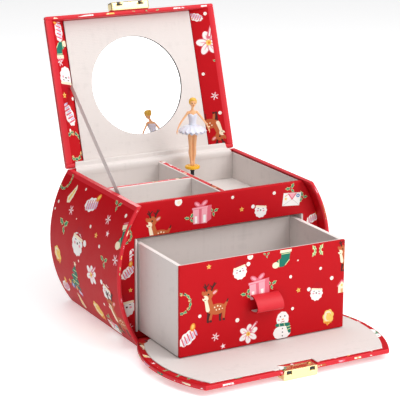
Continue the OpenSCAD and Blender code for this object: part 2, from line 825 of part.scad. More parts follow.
base_board();
side_wall_left();
side_wall_right();
back_wall();
fascia();
drawer_sleeve();
tray_floor();
tray_wall_left();
tray_wall_right();
tray_wall_front();
tray_wall_back();
long_divider();
cross_divider();
inner_hinge_cloth();
outer_hinge_strip();
flap_hinge_strip();
movement_frame();
movement_screws();
spring_housing();
mainspring();
comb();
comb_screws();
shaft_bush();
lid_stay_ribbon();
lid_top();
lid_front_wall();
lid_back_wall();
lid_side_left();
lid_side_right();
lid_lining();
mirror();
clasp_plate();
flap_board();
flap_lining();
clasp_case();
clasp_rivets();
latch_button_left();
latch_button_right();
latch_spring_left();
latch_spring_right();
drawer_front();
drawer_left();
drawer_right();
drawer_back();
drawer_bottom();
pull_tab();
dancer_spring();
spring_collar();
base_disc();
dancer_body();
dancer_hair();
dancer_bodice();
dancer_tutu();
winding_key();
drive_arbor();
music_cylinder();
cylinder_arbor();
governor();
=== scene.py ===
import math
import random

import bmesh
import bpy
from mathutils import Matrix, Vector


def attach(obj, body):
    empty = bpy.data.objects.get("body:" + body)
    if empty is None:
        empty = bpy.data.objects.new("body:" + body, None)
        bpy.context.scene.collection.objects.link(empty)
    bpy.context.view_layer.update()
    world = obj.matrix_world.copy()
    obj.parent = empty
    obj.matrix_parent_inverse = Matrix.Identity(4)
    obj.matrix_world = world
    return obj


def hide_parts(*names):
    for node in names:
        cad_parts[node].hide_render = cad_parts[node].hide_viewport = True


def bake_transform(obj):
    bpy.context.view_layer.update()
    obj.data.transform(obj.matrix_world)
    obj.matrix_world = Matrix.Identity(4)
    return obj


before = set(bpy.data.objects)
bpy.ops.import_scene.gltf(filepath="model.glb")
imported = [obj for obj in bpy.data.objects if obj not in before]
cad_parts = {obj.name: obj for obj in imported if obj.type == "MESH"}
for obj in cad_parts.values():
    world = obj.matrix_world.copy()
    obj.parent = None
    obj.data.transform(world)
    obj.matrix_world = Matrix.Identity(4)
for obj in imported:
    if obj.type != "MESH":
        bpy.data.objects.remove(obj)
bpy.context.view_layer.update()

# The looks of the ballerina music jewellery box. Every length below is in millimetres, in the row's frame,
# and each mesh is scaled to metres when it becomes an object. The driving sizes repeat those of the CAD.

MM = 0.001
BARREL_R = 98.5         # radius of the curve of the sides
BARREL_Z = 57           # height of the widest point
BARREL_CX = 3.5         # offset of each curve's centre past the middle
FRONT, BACK = -64, 64
CASE_TOP = 112.5
SIDE_T = 3.2
FASCIA_Y, FASCIA_T, FASCIA_TOP = -53, 4, 111.4
OPENING_X, OPENING_LOW, OPENING_HIGH = 75, 9.7, 84.2
TRAY_TOP = 110.3
LID_OPEN = 107.9
LID_RIM, LID_H, LID_FRONT = 113.1, 16, -61.3
LINING_X, LINING_Z, LINING_T = 58.6, 121.5, 1.1
LID_X, LID_RAISE = 78, 5    # half width of the lid's upright sides, and how far its barrel is raised
MIRROR_R, MIRROR_Y = 41.4, 1.1
FLAP_IN, FLAP_T, FLAP_LOW, FLAP_TOP = -64.3, 4.3, 2.9, 111.1
DRAWER_X, DRAWER_LOW, DRAWER_H = 72, 10, 71
DRAWER_Y, DRAWER_T, DRAWER_LEN = -119.8, 3.5, 78.6
DANCER_X, DANCER_Y = 27.5, 45
LID_HINGE = Vector((0, 64, 112.8))
FLAP_HINGE = Vector((0, -67.3, 5.5))


def turned(pivot, degrees):
    """The matrix that turns about an axis along X through pivot."""
    turn = Matrix.Rotation(math.radians(degrees), 4, "X")
    return Matrix.Translation(pivot) @ turn @ Matrix.Translation(-pivot)


AS_BUILT = Matrix.Identity(4)
LID_TO_REST = turned(LID_HINGE, -LID_OPEN)
FLAP_TO_REST = turned(FLAP_HINGE, 90)


def barrel_x(z, inset=0):
    """Half width of the barrel at height z, inset inside its outer face."""
    return math.sqrt((BARREL_R - inset) ** 2 - (z - BARREL_Z) ** 2) - BARREL_CX


# ---- materials -----------------------------------------------------------------------------------


def colour(code):
    """A linear colour from an sRGB code such as "c8202a"."""
    values = [int(code[i:i + 2], 16) / 255 for i in (0, 2, 4)]
    return tuple(v / 12.92 if v <= 0.04045 else ((v + 0.055) / 1.055) ** 2.4 for v in values) + (1,)


class Shader:
    """A node material: a Principled shader with helpers for its textures."""

    def __init__(self, name, **sockets):
        self.material = bpy.data.materials.new(name)
        self.material.use_nodes = True
        self.nodes = self.material.node_tree.nodes
        self.links = self.material.node_tree.links
        self.surface = self.nodes["Principled BSDF"]
        self.coordinates = self.nodes.new("ShaderNodeTexCoord").outputs["Object"]
        for socket, value in sockets.items():
            self.surface.inputs[socket.replace("_", " ")].default_value = value

    def texture(self, kind, scale, stretch=(1, 1, 1), **settings):
        mapping = self.nodes.new("ShaderNodeMapping")
        mapping.inputs["Scale"].default_value = stretch
        self.links.new(self.coordinates, mapping.inputs["Vector"])
        node = self.nodes.new("ShaderNodeTex" + kind)
        node.inputs["Scale"].default_value = scale
        for key, value in settings.items():
            if hasattr(node, key):
                setattr(node, key, value)
            else:
                node.inputs[key.replace("_", " ")].default_value = value
        self.links.new(mapping.outputs["Vector"], node.inputs["Vector"])
        return node.outputs["Distance"] if kind == "Voronoi" else node.outputs["Fac"]

    def ramp(self, value, low, high):
        node = self.nodes.new("ShaderNodeMapRange")
        node.inputs["To Min"].default_value = low
        node.inputs["To Max"].default_value = high
        self.links.new(value, node.inputs["Value"])
        return node.outputs["Result"]

    def blend(self, value, first, second):
        node = self.nodes.new("ShaderNodeMix")
        node.data_type = "RGBA"
        node.inputs["A"].default_value = first
        node.inputs["B"].default_value = second
        self.links.new(value, node.inputs["Factor"])
        return node.outputs["Result"]

    def sum(self, first, second, operation="ADD"):
        node = self.nodes.new("ShaderNodeMath")
        node.operation = operation
        self.links.new(first, node.inputs[0])
        self.links.new(second, node.inputs[1])
        return node.outputs[0]

    def bump(self, height, depth, strength=1.0):
        node = self.nodes.new("ShaderNodeBump")
        node.inputs["Distance"].default_value = depth * MM
        node.inputs["Strength"].default_value = strength
        self.links.new(height, node.inputs["Height"])
        self.links.new(node.outputs["Normal"], self.surface.inputs["Normal"])

    def feed(self, socket, value):
        self.links.new(value, self.surface.inputs[socket])


def shade(rgba, factor):
    return tuple(min(1, v * factor) for v in rgba[:3]) + (1,)


def leatherette(name, code, grain=0.05, rough=(0.42, 0.56), coat=0.0):
    """Printed polyurethane leather: fine pebble grain, a satin coat and slow colour drift."""
    base = colour(code)
    s = Shader(name, Coat_Weight=coat, Coat_Roughness=0.28, Specular_IOR_Level=0.12)
    drift = s.texture("Noise", 22, Detail=3.0)
    s.feed("Base Color", s.blend(s.ramp(drift, 0.2, 0.8), shade(base, 0.9), shade(base, 1.07)))
    pebbles = s.texture("Voronoi", 1500, feature="SMOOTH_F1")
    pores = s.texture("Noise", 2600, Detail=2.0)
    s.feed("Roughness", s.ramp(s.texture("Noise", 130, Detail=4.0), *rough))
    s.bump(s.sum(pebbles, pores), grain, 0.55)
    return s.material


def linen(name, code, thread=0.42, slub=0.06):
    """Backed linen paper: fine crossing threads with slubs, matt."""
    base = colour(code)
    s = Shader(name, Sheen_Weight=0.15, Sheen_Roughness=0.6, Specular_IOR_Level=0.25)
    pitch = 1 / (thread * MM) / 3.2
    weave = None
    for direction in ("X", "Y", "Z"):
        wave = s.texture("Wave", pitch, bands_direction=direction, Distortion=1.4, Detail=1.0,
                         Detail_Scale=1.5)
        weave = wave if weave is None else s.sum(weave, wave)
    long_slubs = s.texture("Noise", 260, stretch=(1, 1, 0.07), Detail=3.0)
    cross_slubs = s.texture("Noise", 260, stretch=(0.07, 0.4, 1), Detail=3.0)
    slubs = s.sum(long_slubs, cross_slubs)
    s.feed("Base Color", s.blend(s.ramp(slubs, -0.4, 1.1), shade(base, 1 - 1.6 * slub),
                                 shade(base, 1 + slub)))
    s.feed("Roughness", s.ramp(s.texture("Noise", 700), 0.72, 0.92))
    s.bump(s.sum(weave, slubs), 0.035, 0.6)
    return s.material


def satin(name, code):
    """Woven ribbon: fine ribs across, with a soft sheen."""
    base = colour(code)
    s = Shader(name, Sheen_Weight=0.3, Sheen_Roughness=0.35, Specular_IOR_Level=0.4)
    ribs = s.texture("Wave", 900, bands_direction="Z", Distortion=0.6)
    s.feed("Base Color", s.blend(ribs, shade(base, 0.93), shade(base, 1.04)))
    s.feed("Roughness", s.ramp(ribs, 0.42, 0.55))
    s.bump(ribs, 0.03, 0.5)
    return s.material


def metal(name, code, rough=(0.16, 0.3), brushed=0.0):
    base = colour(code)
    s = Shader(name, Metallic=1.0)
    wear = s.texture("Noise", 320, stretch=(1, 1, 1 + 12 * brushed), Detail=5.0)
    s.feed("Base Color", s.blend(wear, shade(base, 0.9), shade(base, 1.05)))
    s.feed("Roughness", s.ramp(wear, *rough))
    s.bump(wear, 0.01 + 0.02 * brushed, 0.4)
    return s.material


def plastic(name, code, rough=(0.3, 0.42), scatter=0.0, mottle=0.06):
    """Moulded and hand-painted plastic."""
    base = colour(code)
    s = Shader(name, Subsurface_Weight=scatter, Subsurface_Scale=0.0012, Specular_IOR_Level=0.5)
    blotches = s.texture("Noise", 420, Detail=4.0)
    s.feed("Base Color", s.blend(blotches, shade(base, 1 - mottle), shade(base, 1 + mottle)))
    s.feed("Roughness", s.ramp(s.texture("Noise", 900, Detail=2.0), *rough))
    s.bump(s.texture("Noise", 1500), 0.012, 0.4)
    return s.material


def mirror_glass():
    s = Shader("mirror_silver", Metallic=1.0, Base_Color=(0.93, 0.945, 0.95, 1))
    s.feed("Roughness", s.ramp(s.texture("Noise", 60, Detail=2.0), 0.008, 0.02))
    return s.material


RED = leatherette("red_leatherette", "ba0815")
# RIM is a lighter copy of the red leatherette for the rims, edges, lid walls and small leather parts; its
# lighter colour is a painted highlight.
RIM = leatherette("red_leatherette_painted_highlight", "cf2a34", grain=0.03, rough=(0.34, 0.44), coat=0.08)
LINING = linen("grey_linen", "d3cbc7")
LINING_EDGE = linen("linen_edge", "e9e3df", slub=0.03)
# Dark grey linen for the edge of the mirror's hole: painted shade in the hole.
MIRROR_HOLE_SHADE = linen("painted_shade_mirror_hole_edge", "4a4644")
RIBBON = satin("grey_ribbon", "c9bfbb")
GOLD = metal("pale_gold", "f2dca4", rough=(0.18, 0.3))
BRASS = metal("brass", "c9a04c", rough=(0.24, 0.4), brushed=0.4)
STEEL = metal("steel", "a9abae", rough=(0.22, 0.38), brushed=0.6)
DARK_STEEL = metal("dark_steel", "4b4b4e", rough=(0.3, 0.45), brushed=0.3)
BLACK = plastic("black_plastic", "17171a", rough=(0.35, 0.5))
SKIN = plastic("skin_plastic", "f0b583", scatter=0.12, mottle=0.03)
HAIR = plastic("blonde_plastic", "e0ae3c", rough=(0.3, 0.45), mottle=0.16)
WHITE = plastic("white_plastic", "d8d8e4", scatter=0.06, mottle=0.015)
YELLOW = plastic("yellow_plastic", "f3b416", rough=(0.22, 0.32), mottle=0.03)
EYE = plastic("painted_eye", "3a2a26")
LIP = plastic("painted_lip", "b32a2c")
MIRROR = mirror_glass()

INKS = {
    name: leatherette("ink_" + name, code, grain=0.04)
    for name, code in {
        "cream": "f5e3c6", "white": "f3efec", "brown": "bd6238", "dark": "4c2522", "tan": "dfae78",
        "green": "3d8f66",
        "pine": "1f7361", "leaf": "cfdca0", "pink": "efa6b2", "rose": "dc6b7d", "berry": "b30d1c",
        "yellow": "f2cd6b",
        "orange": "e98d35", "blue": "4a8ac0", "lilac": "c9b4da", "black": "1e1c20", "grey": "b9b4b3",
        "shine": "dd3a45",
    }.items()
}


# ---- mesh helpers --------------------------------------------------------------------------------


def add(name, bm, materials, body, place=AS_BUILT, replaces=(), soften=True, corner=38):
    """Turns a bmesh in millimetres into a piece that rides on a body."""
    bmesh.ops.transform(bm, matrix=Matrix.Scale(MM, 4) @ place, verts=bm.verts)
    for face in bm.faces:
        face.smooth = True
    for edge in bm.edges:
        edge.smooth = not (len(edge.link_faces) == 2 and edge.calc_face_angle() > math.radians(corner))
    mesh = bpy.data.meshes.new(name)
    bm.to_mesh(mesh)
    bm.free()
    for material in materials if isinstance(materials, (list, tuple)) else [materials]:
        mesh.materials.append(material)
    piece = bpy.data.objects.new(name, mesh)
    bpy.context.scene.collection.objects.link(piece)
    if soften:
        piece.modifiers.new("weighted", "WEIGHTED_NORMAL").keep_sharp = True
    if body:
        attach(piece, body)
    if replaces:
        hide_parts(*replaces)
    return piece


def box_mesh(low, high, round_by=0.4, segments=3):
    """A box between two corners, with rounded edges."""
    bm = bmesh.new()
    bmesh.ops.create_cube(bm, size=1)
    low, high = Vector(low), Vector(high)
    size = high - low
    bmesh.ops.scale(bm, vec=size, verts=bm.verts)
    bmesh.ops.translate(bm, vec=(low + high) / 2, verts=bm.verts)
    if round_by:
        bmesh.ops.bevel(bm, geom=bm.edges[:], offset=min(round_by, 0.45 * min(size)), segments=segments,
                        profile=0.5, affect="EDGES", clamp_overlap=True)
    return bm


def join(*meshes):
    """One bmesh from several, each with the material index it came with."""
    whole = bmesh.new()
    for bm in meshes:
        part = bpy.data.meshes.new("part")
        bm.to_mesh(part)
        bm.free()
        whole.from_mesh(part)
        bpy.data.meshes.remove(part)
    return whole


def painted(bm, index):
    for face in bm.faces:
        face.material_index = index
    return bm


def plate_mesh(outlines, thickness, bevel, segments=3):
    """A flat plate in XY from z = 0 to thickness, with rounded rims.

    The first outline is the outside and the others are holes."""
    curve = bpy.data.curves.new("outline", "CURVE")
    curve.dimensions = "2D"
    curve.fill_mode = "BOTH"
    curve.extrude = thickness / 2 - bevel
    curve.bevel_depth = bevel
    curve.bevel_resolution = segments
    curve.offset = -bevel
    for outline in outlines:
        spline = curve.splines.new("POLY")
        spline.points.add(len(outline) - 1)
        for point, (x, y) in zip(spline.points, outline):
            point.co = (x, y, 0, 1)
        spline.use_cyclic_u = True
    holder = bpy.data.objects.new("outline", curve)
    bpy.context.scene.collection.objects.link(holder)
    bpy.context.view_layer.update()
    mesh = bpy.data.meshes.new_from_object(holder.evaluated_get(bpy.context.evaluated_depsgraph_get()))
    bpy.data.objects.remove(holder)
    bpy.data.curves.remove(curve)
    bm = bmesh.new()
    bm.from_mesh(mesh)
    bpy.data.meshes.remove(mesh)
    bmesh.ops.remove_doubles(bm, verts=bm.verts, dist=1e-3)
    bmesh.ops.recalc_face_normals(bm, faces=bm.faces)
    bmesh.ops.translate(bm, vec=(0, 0, thickness / 2), verts=bm.verts)
    for face in bm.faces:
        face.material_index = 0
    return bm


def upright(y):
    """Stands a plate drawn in XY up in the XZ plane: its z = 0 face at y, its thickness towards -Y."""
    return Matrix.Translation((0, y, 0)) @ Matrix.Rotation(math.radians(90), 4, "X")


def circle(radius, centre=(0, 0), count=96):
    return [(centre[0] + radius * math.cos(2 * math.pi * i / count),
             centre[1] + radius * math.sin(2 * math.pi * i / count)) for i in range(count)]


def rectangle(x0, y0, x1, y1, corner=0, count=6):
    """A rectangle, with its corners rounded where corner is given."""
    if not corner:
        return [(x0, y0), (x1, y0), (x1, y1), (x0, y1)]
    points = []
    for cx, cy, start in ((x1 - corner, y0 + corner, -90), (x1 - corner, y1 - corner, 0),
                          (x0 + corner, y1 - corner, 90), (x0 + corner, y0 + corner, 180)):
        for i in range(count + 1):
            angle = math.radians(start + 90 * i / count)
            points.append((cx + corner * math.cos(angle), cy + corner * math.sin(angle)))
    return points


def lid_x(z):
    """Half width of the lid at height z, as closed: upright sides that turn into the raised barrel."""
    return min(LID_X, barrel_x(z - LID_RAISE))


def lid_outline(z0, z1, count=20):
    """The lid's outline in XZ between two heights, as points in XY."""
    heights = [z0 + (z1 - z0) * i / count for i in range(count + 1)]
    right = [(lid_x(z), z) for z in heights]
    return right + [(-x, z) for x, z in reversed(right)]


def barrel_outline(inset, z0, z1, count=28):
    """The barrel's outline in XZ between two heights, as points in XY."""
    heights = [z0 + (z1 - z0) * i / count for i in range(count + 1)]
    right = [(barrel_x(z, inset), z) for z in heights]
    return right + [(-x, z) for x, z in reversed(right)]


def bridge(bm, rings):
    """Skins closed rings of vertices, each to the next."""
    count = len(rings[0])
    for first, second in zip(rings, rings[1:]):
        for k in range(count):
            bm.faces.new((first[k], first[(k + 1) % count], second[(k + 1) % count], second[k]))


def tube_mesh(path, radii, sides=14):
    """A tube along path; radii gives (across, deep) at each point."""
    bm = bmesh.new()
    path = [Vector(p) for p in path]
    side = Vector((1, 0, 0))
    rings = []
    for i, point in enumerate(path):
        tangent = (path[min(i + 1, len(path) - 1)] - path[max(i - 1, 0)]).normalized()
        side = (side - tangent * side.dot(tangent)).normalized()
        deep = tangent.cross(side)
        a, b = radii[i]
        rings.append([bm.verts.new(point + side * a * math.cos(t) + deep * b * math.sin(t))
                      for t in (2 * math.pi * k / sides for k in range(sides))])
    bridge(bm, rings)
    bm.faces.new(list(reversed(rings[0])))
    bm.faces.new(rings[-1])
    return bm


def ball_mesh(centre, radii, turn=AS_BUILT, rings=20):
    bm = bmesh.new()
    bmesh.ops.create_uvsphere(bm, u_segments=rings + 8, v_segments=rings, radius=1)
    shape = Matrix.Translation(centre) @ turn @ Matrix.Diagonal((*radii, 1))
    bmesh.ops.transform(bm, matrix=shape, verts=bm.verts)
    return bm


def smooth_path(points, steps=6):
    """A Catmull-Rom curve through the points, which may carry radii after their three coordinates."""
    out = []
    size = len(points[0])
    for i in range(len(points) - 1):
        p0, p1, p2, p3 = (points[max(i - 1, 0)], points[i], points[i + 1],
                          points[min(i + 2, len(points) - 1)])
        for k in range(steps):
            t = k / steps
            out.append(tuple(
                0.5 * (2 * p1[j] + (p2[j] - p0[j]) * t + (2 * p0[j] - 5 * p1[j] + 4 * p2[j] - p3[j]) * t * t
                       + (3 * p1[j] - p0[j] - 3 * p2[j] + p3[j]) * t ** 3) for j in range(size)))
    out.append(tuple(points[-1]))
    return out


def paint_node(node, material):
    """Gives a CAD node its material."""
    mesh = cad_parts[node].data
    mesh.materials.clear()
    mesh.materials.append(material)


# ---- the printed motifs --------------------------------------------------------------------------
# Each motif is a list of (ink, outline) with the lowest first, drawn upright round (0, 0).


def dot(x, y, rx, ry=None, turn=0, count=16):
    ry = rx if ry is None else ry
    c, s = math.cos(math.radians(turn)), math.sin(math.radians(turn))
    return [(x + rx * math.cos(a) * c - ry * math.sin(a) * s, y + rx * math.cos(a) * s + ry * math.sin(a) * c)
            for a in (2 * math.pi * i / count for i in range(count))]


def line(x0, y0, x1, y1, w0, w1=None):
    """A tapered bar with round ends."""
    w1 = w0 if w1 is None else w1
    heading = math.atan2(y1 - y0, x1 - x0)

    def end(x, y, r, first):
        turns = [heading + math.radians(a) for a in range(first, first + 181, 45)]
        return [(x + r * math.cos(a), y + r * math.sin(a)) for a in turns]

    return end(x0, y0, w0 / 2, 90) + end(x1, y1, w1 / 2, -90)


def star_shape(x, y, r, inner=0.45, points=5, turn=90):
    return [(x + (r if i % 2 == 0 else r * inner) * math.cos(math.radians(turn + 180 * i / points)),
             y + (r if i % 2 == 0 else r * inner) * math.sin(math.radians(turn + 180 * i / points)))
            for i in range(2 * points)]


def scallop(x, y, rx, ry, lobes, depth, count=48):
    return [(x + (rx - depth + depth * abs(math.sin(lobes * a / 2))) * math.cos(a),
             y + (ry - depth + depth * abs(math.sin(lobes * a / 2))) * math.sin(a))
            for a in (2 * math.pi * i / count for i in range(count))]


def moved(motif, x, y, scale=1, turn=0, flip=False):
    c, s = math.cos(math.radians(turn)) * scale, math.sin(math.radians(turn)) * scale
    m = -1 if flip else 1
    return [(ink, [(x + m * px * c - py * s, y + m * px * s + py * c) for px, py in outline])
            for ink, outline in motif]


def leaf(x, y, length, turn, ink="green"):
    """A holly leaf with a pale rim."""
    points = [(0, 0), (0.22, 0.2), (0.36, 0.12), (0.55, 0.24), (0.7, 0.12), (1, 0),
              (0.7, -0.12), (0.55, -0.24), (0.36, -0.12), (0.22, -0.2)]
    c, s = math.cos(math.radians(turn)) * length, math.sin(math.radians(turn)) * length
    rim = [(x + a * c - 1.25 * b * s, y + a * s + 1.25 * b * c) for a, b in points]
    inside = [(x + (0.08 + a * 0.84) * c - 0.85 * b * s, y + (0.08 + a * 0.84) * s + 0.85 * b * c)
              for a, b in points]
    return [("leaf", rim), (ink, inside)]


def deer():
    m = []
    for x0, x1, back in ((-3.4, -4.2, False), (4.6, 4.0, True), (-5.4, -6.6, True), (7.4, 7.2, False)):
        m += [("dark" if back else "brown", line(x0, -6, x1, -12.4, 3.0, 1.7)),
              ("dark", line(x1, -13.2, x1 + 0.5, -13.4, 1.9))]
    m += [("brown", dot(1.6, -4.2, 7.6, 4.4)), ("brown", line(-4, -4, -6.2, 6.5, 6.4, 4)),
          ("cream", line(-6.4, -4, -8, 3.5, 3.4, 2.6)),
          ("brown", line(8.2, -2.5, 10.6, 1.2, 2.6, 1.4)), ("dark", line(10.2, 0.8, 11, 2.6, 1.4, 0.8)),
          ("brown", dot(-0.9, 9.4, 3.2, 1.7, 30)), ("pink", dot(-0.6, 9.5, 1.9, 0.9, 30)),
          ("brown", dot(-10.2, 9.6, 2.2, 1.3, 120)), ("brown", dot(-6.1, 8.2, 4.1, 4.1)),
          ("cream", dot(-8.6, 5.6, 2.7, 2.3, -20)), ("berry", dot(-10.3, 6.6, 1.0)),
          ("black", dot(-6, 8.4, 0.75)), ("black", line(-9.4, 4.4, -8, 4.2, 0.4))]
    for x, lean in ((-7.4, -1.6), (-3.2, 2.4)):
        m += [("dark", line(x, 11.6, x + lean, 17, 1.5, 1.0)),
              ("dark", line(x + lean * 0.5, 14, x + lean * 0.5 + 2.6, 16.6, 1.2, 0.8)),
              ("dark", line(x + lean * 0.4, 13, x + lean * 0.4 - 2.2, 15.4, 1.1, 0.7))]
    m += [("cream", dot(x, y, r)) for x, y, r in
          ((-0.6, -2.6, 0.6), (2, -1.8, 0.7), (4.4, -2.4, 0.6), (0.8, -4.8, 0.6), (3.4, -4.6, 0.65),
           (6, -4.4, 0.5))]
    return m


def chick():
    """A round white chick in a small red cap."""
    return [("white", scallop(0, -0.6, 6.1, 6.4, 11, 0.8)),
            ("berry", [(-4.4, 2.6), (4.6, 3.4), (3.8, 7.2), (0.8, 9.2), (-2.4, 7.8)]),
            ("cream", line(-4.6, 2.4, 4.6, 3.2, 1.5)), ("berry", line(2.4, 6.2, 7, 3.6, 1.7, 0.9)),
            ("white", dot(7.8, 3.2, 1.7)), ("pink", dot(-2.7, -0.9, 1.0, 0.7)),
            ("pink", dot(2.9, -0.6, 1.0, 0.7)), ("dark", line(-2.8, 0.9, -1.7, 1.1, 0.5)),
            ("dark", line(1.9, 1.3, 3, 1.2, 0.5)), ("dark", dot(0.2, -0.3, 0.75, 0.6))]


def holly(spread=1.0):
    leaves = leaf(0.6, 0, 6 * spread, 35) + leaf(-0.4, 0.2, 6 * spread, 150) + leaf(0, -0.6, 5 * spread, -70)
    return leaves + [("berry", dot(0.1, 0.3, 0.9)), ("rose", dot(1.2, -0.6, 0.7))]


def holly_cross():
    m = []
    for angle in (55, 125, 235, 305):
        m += leaf(1.6 if angle in (55, 305) else -1.6, 0, 5.6, angle, "leaf")
        m += [("green", line(1.8 * (1 if angle in (55, 305) else -1), 0,
                             3.6 * (1 if angle in (55, 305) else -1), 3.6 * (1 if angle < 180 else -1), 0.5))]
    return m


def gift():
    m = moved(holly(0.95), -11, -3, 0.9, 20) + moved(holly(0.95), 10.6, 0, 0.85, -10)
    m += [("rose", [(4, -8.6), (8.6, -6), (8.9, 5.4), (4, 4)]),
          ("pink", [(-8, -8.4), (4.6, -8.8), (5, 4.4), (-8.4, 4.8)]),
          ("white", [(-6.6, -7.8), (-4.4, -7.9), (-4.4, -2), (-6.6, -2)]),
          ("white", [(1.2, -8), (3.4, -8), (3.6, -1.6), (1.2, -1.6)]),
          ("rose", [(-2.8, -8.6), (-0.4, -8.7), (-0.2, 4.6), (-2.8, 4.7)]),
          ("rose", [(-9.2, 3.4), (8.8, 4.2), (9, 6), (-9.2, 5.4)]),
          ("pink", [(-8.8, 3.9), (5.4, 4.2), (5.4, 5.5), (-8.8, 5)]),
          ("rose", dot(-4.2, 7.8, 3.4, 1.9, -35)), ("pink", dot(-4.2, 7.8, 2.1, 0.9, -35)),
          ("rose", dot(2.2, 8.2, 3.5, 1.9, 35)), ("pink", dot(2.2, 8.2, 2.1, 0.9, 35)),
          ("rose", dot(-1, 6.4, 1.5, 1.2))]
    return m


def stocking():
    m = [("pine", [(-1, 5.4), (7, 5.4), (6.4, -1), (1.6, -6.4), (-5, -6.4), (-6.6, -3.4), (-4, -1),
                   (-1.2, 0.4)]),
         ("cream", [(-2.2, 4.4), (7.8, 4.8), (8.2, 7.6), (-2, 7.2)]), ("cream", dot(-5.6, -4.6, 2.9, 2.5)),
         ("leaf", line(-2.6, -6.2, -3, -0.6, 0.7)), ("leaf", line(6.2, -1.4, 3, -5, 0.7)),
         ("rose", line(-1, 8, 6.6, 8.4, 1.1)),
         ("leaf", line(-0.6, 3.6, 6.6, 3.9, 0.6))]
    return m


def snowman():
    m = [("white", scallop(0, -6, 8, 5.8, 9, 0.3)), ("white", scallop(0.4, 4.6, 5.6, 6.4, 9, 0.3)),
         ("pine", line(-4.8, 0.4, 6, -0.2, 2.6)), ("pine", line(5, -0.4, 6.8, -6.4, 3.2, 2.6)),
         ("leaf", line(3.8, -2.4, 7.4, -1.8, 0.6)), ("leaf", line(4.4, -4.6, 8, -4, 0.6)),
         ("leaf", line(-2.6, 1.4, -2.2, -0.6, 0.6)), ("leaf", line(1.8, 1.2, 2.2, -0.8, 0.6)),
         ("orange", [(-1, 4.2), (1.4, 5.4), (1.2, 4)]), ("black", dot(-1.6, 7, 0.6)),
         ("black", dot(2.4, 7, 0.6)), ("black", dot(0.4, -3, 0.55)), ("black", dot(0.4, -6, 0.55)),
         ("berry", line(-1, 2.4, 2, 2.8, 0.5)), ("pink", dot(-3.2, 4.4, 1, 0.7)),
         ("black", dot(0.4, -9, 0.55))]
    return m


def bell():
    return [("yellow", scallop(0, 0, 5.2, 6.2, 7, 0.9)), ("cream", dot(-0.6, 0.6, 3.4, 4.2)),
            ("yellow", dot(0.4, 0.2, 2.4, 3.2)), ("orange", line(-3, -4.6, 3.4, -4.4, 1)),
            ("orange", dot(0.3, -6, 1)), ("orange", dot(-1.4, 2.6, 0.4)), ("orange", dot(1.8, 1.4, 0.4))]


def bow():
    m = []
    for angle, length in ((20, 7.6), (75, 6.6), (140, 7), (205, 7.4), (265, 6.4), (320, 7.4)):
        c, s = math.cos(math.radians(angle)), math.sin(math.radians(angle))
        m += [("rose", dot(4.6 * c, 4.2 * s, length / 1.7, 2.7, angle)),
              ("white", dot(4.8 * c, 4.4 * s, length / 1.9, 2.2, angle)),
              ("pink", line(2 * c, 2 * s, 5.4 * c, 5 * s, 0.9, 0.4))]
    m += [("rose", line(2.4, 3, 8, 7.6, 3, 2)), ("white", line(3.2, 3.4, 7, 7, 1, 0.6)),
          ("yellow", dot(0, 0, 1.9)), ("orange", dot(0.2, -0.2, 0.9))]
    return m


def wreath():
    m = []
    for i in range(14):
        a = math.radians(360 / 14 * i)
        m += leaf(9 * math.cos(a), 9 * math.sin(a), 5, math.degrees(a) + 100, "green" if i % 2 else "pine")
        if i % 3 == 0:
            m += [("berry", dot(9.6 * math.cos(a), 9.6 * math.sin(a), 1.1)),
                  ("tan", dot(8 * math.cos(a + 0.2), 8 * math.sin(a + 0.2), 1))]
    return m


def candy():
    m = [("white", scallop(0, 0, 7.4, 4.4, 9, 0.8))]
    for i in range(5):
        x = -5 + 2.5 * i
        m += [("rose", line(x, -2.4, x + 1.2, 2.4, 1)), ("lilac", line(x + 1.1, -2.8, x + 2, 0.6, 0.7))]
    m += [("orange", dot(6.8, 3.6, 2.8, 1.8, 40)), ("yellow", dot(7, 3.9, 1.6, 0.9, 40))]
    return m


def cane():
    m = [("white", line(0, -8, 0, 4, 2.6)), ("white", dot(2.4, 4.6, 3.6, 3.4)),
         ("berry", dot(2.8, 4, 1.5, 1.7))]
    m += [("rose", line(-1.2, y, 1.2, y + 1.4, 1.0)) for y in (-7.5, -4.5, -1.5, 1.5)]
    return m + [("rose", line(0.6, 7, 2.4, 5.2, 1.1))]


def tree():
    m = [("tan", line(0, -10, 0, -7, 2))]
    for y, w, h in ((-7.5, 6.6, 7), (-2.6, 5.4, 6.6), (2.2, 3.9, 6)):
        m += [("pine", [(-w, y), (-w * 0.4, y - 0.8), (0, y - 0.3), (w * 0.4, y - 0.8), (w, y), (0, y + h)])]
    m += [("leaf", line(-3.6, -5, 4, -3.4, 0.7)), ("leaf", line(-2.8, -0.2, 3, 1.2, 0.7)),
          ("leaf", line(-1.6, 4, 1.8, 4.8, 0.6)), ("yellow", dot(-2.6, -6.2, 0.7)),
          ("rose", dot(2.2, -5.8, 0.7)), ("yellow", dot(1.2, -1.4, 0.6)), ("rose", dot(-1.2, 2, 0.6)),
          ("cream", star_shape(0, 9.2, 2)), ("blue", rectangle(-6.4, -11.6, -2.4, -8.4)),
          ("lilac", rectangle(2.2, -11.4, 6.6, -8.8)), ("white", rectangle(-4.8, -11.6, -4, -8.4)),
          ("white", rectangle(4, -11.4, 4.8, -8.8))]
    return m


def envelope():
    return moved(holly(1.0), -1.6, 9.4, 0.9, 30) + moved(holly(1.1), 11, 1, 0.9, 80) + \
        [("white", [(-9.2, -5.8), (8.2, -6), (9.4, 5.6), (-8.6, 5.6)]),
         ("rose", [(-4.6, 5.2), (5, 5.2), (0.4, -1)]),
         ("pink", [(-3.2, 5.2), (3.6, 5.2), (0.4, 0.6)]), ("yellow", star_shape(-6, 0.4, 1.7, turn=20)),
         ("orange", line(-6.8, 2.8, -4.6, 4, 0.6)),
         ("blue", dot(6.2, 2.9, 1.8, 1.6)), ("white", dot(6.2, 2.9, 0.7)),
         ("grey", line(-8.6, -5.4, -0.6, -0.6, 0.3)), ("grey", line(8, -5.6, 1.4, -0.6, 0.3))]


